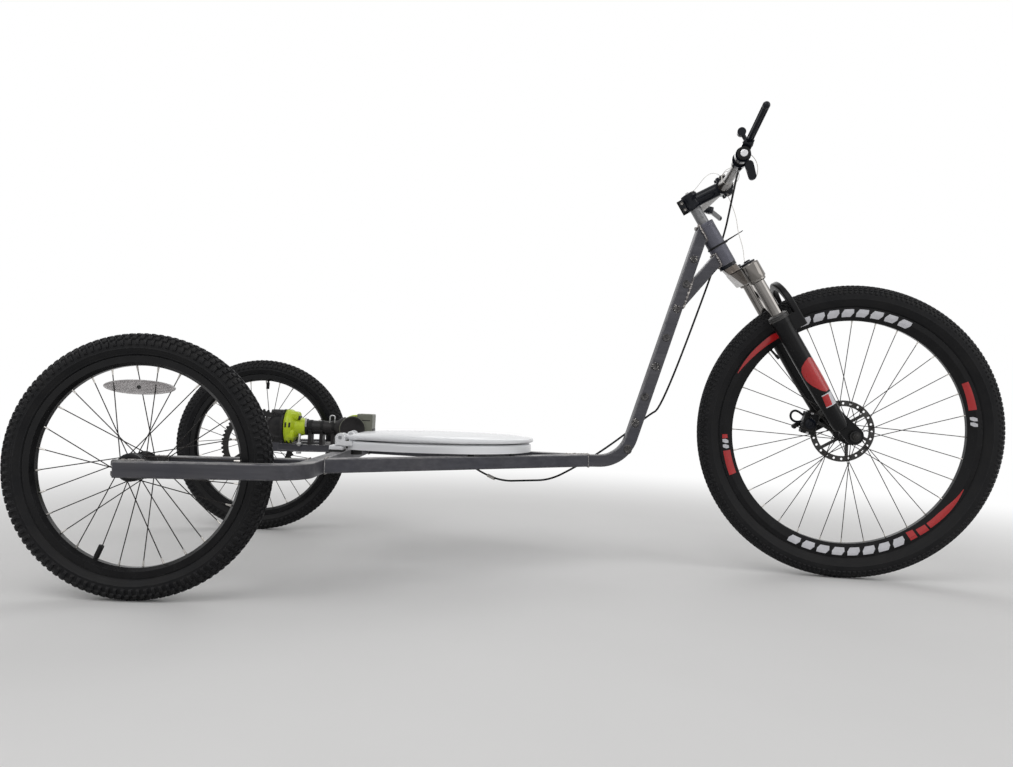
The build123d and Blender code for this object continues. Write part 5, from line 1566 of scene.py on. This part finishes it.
HOUSING = (
    (118.4, 0.4), (118.4, 37), (119.2, 41), (121, 44), (124, 46), (128.5, 46.9),
    (134, 46.4), (138.6, 44), (142, 40), (144.4, 35.4), (146.6, 31.4), (150, 28.8), (156, 26.4),
    (163, 24.4), (170, 23), (172.6, 22.4), (173.2, 21.6), (173.2, 0.4))
shell = spun("shell", along_tool(HOUSING), 56, tool_axis)
lobe = block("lobe", mm(30, 42, 24), tool_point(143, 212, 349))
rounded(lobe, 9 * MM, 6)
lobe_two = block("lobe_two", mm(24, 30, 26), tool_point(137, 196, 300))
rounded(lobe_two, 8 * MM, 5)
ridges = [spun(f"ridge_{x}", along_tool(((x, 42), (x, 46.6), (x + 1.2, 46.8), (x + 1.2, 42))), 56, tool_axis)
          for x in (121.4, 132)]
casing_parts = finished(joined("motor_housing", [shell, lobe, lobe_two] + ridges), "frame", "lime_plastic")
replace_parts(casing_parts, "tool_housing")
slots = []
for x in (126.6, 136.4):
    for turn in (-6, 172, 64):
        reach = -44.9 if x < 130 else -43.6
        slot_block = rounded(block("slot", mm(4.8, 6, 13.5), mm(0, reach, 0)), 1.4 * MM, 3)
        middle = Matrix.Translation(tool_point(x, TOOL_Y, TOOL_Z))
        spin_place = middle @ Matrix.Rotation(radians(turn), 4, "X")
        slots.append(placed(slot_block, spin_place))
notch = rounded(block("notch", mm(5, 34, 11), tool_point(157.4, 212, 344)), 2 * MM, 3)
finished(joined("motor_vents", slots + [notch]), "frame", "dark_plastic")

head_fins = []
for x in (86.5, 92.5, 98.5):
    fin = rounded(block("fin", mm(2.2, 63.6, 78), tool_point(x, TOOL_Y, TOOL_Z)), 0.8 * MM)
    head_fins.append(fin)
FLANGE = ((112, 30), (112, 45.6), (113.2, 46.6), (117.4, 46.6), (118.4, 45.4), (118.4, 30))
flange = spun("flange", along_tool(FLANGE), 56, tool_axis)
bearing = drum("bearing", 31 * MM, 4 * MM, tool_point(104, 190, 319.4), "Y", 40)
pick(bearing, lambda centre, normal: normal.y < -0.9)
bpy.ops.mesh.inset(thickness=5 * MM)
bpy.ops.transform.translate(value=(0, 1.6 * MM, 0))
bpy.ops.mesh.inset(thickness=9 * MM)
bpy.ops.transform.translate(value=(0, -2.4 * MM, 0))
done()
rounded(bearing, 0.8 * MM)
finished(joined("gear_head_dress", head_fins + [flange, bearing]), "frame", "tool_head")
gear_screws = [aimed(tool_point(101 + a, 188.6, TOOL_Z + b), (0, -1, 0))
               for a, b in ((-12, -38), (13, -38), (-12, 38), (13, 38))]
bolt_model = socket_bolt("bolt", 3.4 * MM, 2.4 * MM, 2 * MM, 5 * MM)
finished(copies("gear_head_screws", bolt_model, gear_screws), "frame", "dark_steel")
print("motor housing made")

# %% [markdown]
# The grip is turned in one piece with its seam and ends in a round foot that faces sideways, with
# a lime ring behind it. Straps hold it to the saddles, and a wire bail, a tab and a stud are its
# hardware.

# %% Grip, straps, bail and battery foot
GRIP = (
    (173.4, 0.4), (173.4, 22.4), (178.4, 22.8), (179.6, 20.6), (181, 19.3), (205, 18.9), (235, 19),
    (252, 19.6), (257, 21), (262, 24.4), (268, 28.4), (273, 30.6), (277, 31.2), (279, 30.2), (282, 30.4),
    (328, 30.8), (330, 29.6), (330, 0.4))
grip = spun("grip", along_tool(GRIP), 48, tool_axis)
seam = spun("seam", along_tool(((276.4, 29), (276.4, 32), (279.2, 32), (279.2, 29))), 48, tool_axis)
foot = drum("foot", 35 * MM, 72 * MM, tool_point(306, 217, 320), "Y", 64)
pick(foot, lambda centre, normal: abs(normal.y) > 0.9)
bpy.ops.mesh.bevel(offset=4 * MM, segments=4)
done()
pick(foot, lambda centre, normal: normal.y < -0.95
     and (centre - tool_point(306, centre.y / MM, 320)).length < 20 * MM)
bpy.ops.mesh.inset(thickness=2.2 * MM)
bpy.ops.transform.translate(value=(0, 1.4 * MM, 0))
bpy.ops.mesh.inset(thickness=20 * MM)
bpy.ops.transform.translate(value=(0, -1.8 * MM, 0))
done()
smooth(foot)
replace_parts(finished(joined("grip_body", [grip, seam, foot]), "frame", "dark_plastic"), "tool_grip")
LIME_RING = ((30, -26), (37, -26), (38.2, -24), (38.2, 24), (37, 26), (30, 26))
lime_ring = spun("lime_ring", metres(LIME_RING), 64,
                 Matrix.Translation(tool_point(311, 222, 320.6)))
finished(lime_ring, "frame", "lime_plastic")
RIM_LINE = ((33.4, -40.4), (34.4, -41.4), (35.4, -40.2), (35.2, -38.6))
rim_line = spun("rim_line", metres(RIM_LINE), 64,
                Matrix.Translation(tool_point(306, 222, 320)))
finished(rim_line, "frame", "battery_plastic")
bail = piped("bail", [tool_point(*p) for p in (
    (240.6, 203, 334), (240.8, 202, 342), (241, 202, 353), (247.5, 202, 354.6),
    (254, 202, 353), (254.2, 202, 342), (254.4, 203, 334))], 1.7 * MM, Matrix(), 3, 4)
tab = rounded(block("tab", mm(5, 2.6, 25), tool_point(176, 199, 333)), 0.9 * MM)
stud = rounded(drum("stud", 4 * MM, 34 * MM, tool_point(160, 202, 284), "Z", 20), 0.5 * MM)
stud_nut = rounded(drum("stud_nut", 7.4 * MM, 6 * MM, tool_point(160, 202, 274), "Z", 6), 0.6 * MM)
stud_nut_two = rounded(drum("stud_nut", 7.4 * MM, 6 * MM, tool_point(160, 202, 249.6), "Z", 6), 0.6 * MM)
finished(joined("motor_hardware", [bail, tab, stud, stud_nut, stud_nut_two]), "frame", "zinc_steel")
bands = []
for x in (187, 218.2, 249.4):
    band_outline = ((x - 4, 18.6), (x - 4, 20.4), (x + 4, 20.4), (x + 4, 18.6))
    bands.append(spun(f"band_{x}", along_tool(band_outline), 40, tool_axis))
    bands.append(rounded(block("buckle", mm(9, 6, 8), tool_point(x, 203, 309)), 1.2 * MM))
finished(joined("motor_straps", bands), "frame", "soft_black")
rails = [rounded(block("latch", mm(3, 52, 10), tool_point(358.4, 222, 318)), 1.2 * MM),
         rounded(block("groove", mm(30, 75, 3), tool_point(338, 222, 345)), 1 * MM)]
finished(joined("battery_trim", rails), "frame", "dark_plastic")
print("motor dressed")

# %% [markdown]
# The crown's casting. The CAD crown has its full height at the back; the real one is cut away
# there at a slant. A copy of its mesh is merged, sliced by a plane, tidied into large faces and
# given soft cast edges, and then stands in for the CAD crown.

# %% Fork crown with its corner cut
crown = merged_copy("crown_casting", "fork_crown")
crown_low, crown_high = (-17, -5), (-2.2, -50.8)
slope = Vector((crown_low[1] - crown_high[1], 0, crown_high[0] - crown_low[0])).normalized()
cut_at = in_frame(fork, (crown_low[0], 0, crown_low[1]))
bpy.ops.mesh.select_all(action="SELECT")
bpy.ops.mesh.bisect(plane_co=cut_at, plane_no=fork.to_3x3() @ -slope,
                    use_fill=True, clear_inner=False, clear_outer=True)
bpy.ops.mesh.select_all(action="SELECT")
bpy.ops.mesh.dissolve_limited(angle_limit=radians(2))
done()
rounded(crown, 1.6 * MM, 3, 40)
finished(crown, "steering", "cast_crown")
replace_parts(crown, "fork_crown")
print("crown faces:", len(crown.data.polygons))

# %% [markdown]
# The right brake lever is a thick soft-edged blade with a rounded knob on its clamp. The CAD gives
# its line; a drum is stretched along it and flattened.

# %% Right lever blade
pivot, outward, blade = lever_lines(-1)
BLADE = (
    (0.4, 6), (5, 6), (6.6, 9), (7, 30), (6.6, 70), (6.4, 100), (6.8, 112), (6, 118), (3.6, 121),
    (0.4, 121.6))
FLATTENED = Matrix.Diagonal((1, 1, 0.72, 1))
blade_place = fork @ aimed(pivot, blade) @ Matrix.Rotation(pi / 2, 4, "X") @ FLATTENED
finished(spun("lever_blade", metres(BLADE), 28, blade_place), "steering", "gloss_black")
print("lever blade", [round(v, 2) for v in blade])

# %% [markdown]
# Seat hinges. Each one is a black base on the ring, a flat white cover over its screws, and a
# white knuckle that the lid turns on.

# %% Seat hinges
lid_pivot = Vector(joints["lid_lift"]["pos_m"])
hinge_low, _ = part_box("seat_hinges")
hinge_white, hinge_black = [], []
for side in (-1, 1):
    y = side * 78 * MM
    back, front = hinge_low[0] + 2 * MM, hinge_low[0] + 34 * MM
    middle = (back + front) / 2
    pad = block("pad", (front - back, 54 * MM, 5.2 * MM), (middle, y, hinge_low[2] + 2.7 * MM))
    hinge_black.append(rounded(pad, 1.4 * MM, 3))
    cover = block("cover", (front - back - 1 * MM, 55 * MM, 9 * MM), (middle, y, hinge_low[2] + 9.4 * MM))
    pick(cover, lambda centre, normal: normal.z > 0.9)
    bpy.ops.mesh.inset(thickness=2.4 * MM)
    bpy.ops.transform.translate(value=(0, 0, 1.2 * MM))
    done()
    hinge_white.append(rounded(cover, 1.1 * MM, 3))
    barrel = drum("barrel", 7.4 * MM, 30 * MM, (lid_pivot.x, y, lid_pivot.z), "Y", 32)
    pick(barrel, lambda centre, normal: abs(normal.y) > 0.9)
    bpy.ops.mesh.inset(thickness=2 * MM)
    bpy.ops.transform.resize(value=(1, 0.94, 1))
    done()
    hinge_white.append(rounded(barrel, 1 * MM, 3))
    drop = lid_pivot.z - hinge_low[2] - 12 * MM
    neck_z = hinge_low[2] + 12 * MM + drop / 2 - 1 * MM
    neck = block("neck", (11 * MM, 26 * MM, drop), (lid_pivot.x - 1 * MM, y, neck_z))
    hinge_white.append(rounded(neck, 2 * MM, 3))
covers = finished(joined("hinge_covers", hinge_white), "frame", "white_seat")
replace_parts(covers, "seat_hinges")
finished(joined("hinge_pads", hinge_black), "frame", "clear_rubber")
print("lid turns at", [round(v, 3) for v in lid_pivot])

# %% [markdown]
# Spoke reflector. A moulded lens clipped between the spokes: a rim, a sunk field with fine ribs,
# and a small clip at its middle. A drum is stretched to the lens's length and inset.

# %% Spoke reflector
lens_low, lens_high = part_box("spoke_reflector")
lens_middle, lens_size = (lens_low + lens_high) / 2, lens_high - lens_low
lens = drum("lens", 0.5, 1, (0, 0, 0), "Y", 80)
placed(lens, Matrix.Translation(lens_middle) @ Matrix.Diagonal((lens_size.x, lens_size.y, lens_size.z, 1)))
pick(lens, lambda centre, normal: abs(normal.y) > 0.9)
bpy.ops.mesh.inset(thickness=2.2 * MM)
bpy.ops.mesh.inset(thickness=0.5 * MM)
bpy.ops.transform.resize(value=(1, 0.7, 1))
done()
rounded(lens, 0.6 * MM)
ribs = []
for step in range(-4, 5):
    half = lens_size.x / 2 * sqrt(max(0.0, 1 - (step * 2.7 / 14.2) ** 2)) - 6 * MM
    rib = drum("rib", 1.1 * MM, half * 2, lens_middle + Vector((0, -3 * MM, step * 2.7 * MM)), "X", 8)
    ribs.append(smooth(rib, 60))
lens = finished(joined("reflector_lens", [lens] + ribs), "right_wheel", "reflector")
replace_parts(lens, "spoke_reflector")
clip = rounded(drum("clip", 3.6 * MM, 10.4 * MM, lens_middle, "Y", 20), 0.8 * MM)
finished(joined("reflector_clip", [clip]), "right_wheel", "clear_rubber")
print("reflector", [round(v / MM, 1) for v in lens_size])

# %% [markdown]
# Seat lid. The moulded lid has a soft rim and one even dome. A copy of the CAD lid is merged,
# remeshed into small even faces and smoothed a little, so the light rolls over its edge.

# %% Seat lid with a soft rim
lid = merged_copy("lid_shell", "seat_lid")
done()
even = lid.modifiers.new("even", "REMESH")
even.mode = "VOXEL"
even.voxel_size = 2.7 * MM
even.use_smooth_shade = True
bpy.ops.object.modifier_apply(modifier="even")
relax = lid.modifiers.new("relax", "SMOOTH")
relax.factor = 0.5
relax.iterations = 14
bpy.ops.object.modifier_apply(modifier="relax")
bpy.ops.object.shade_smooth()
finished(lid, "seat_lid", "white_seat")
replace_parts(lid, "seat_lid")
print("lid faces:", len(lid.data.polygons))
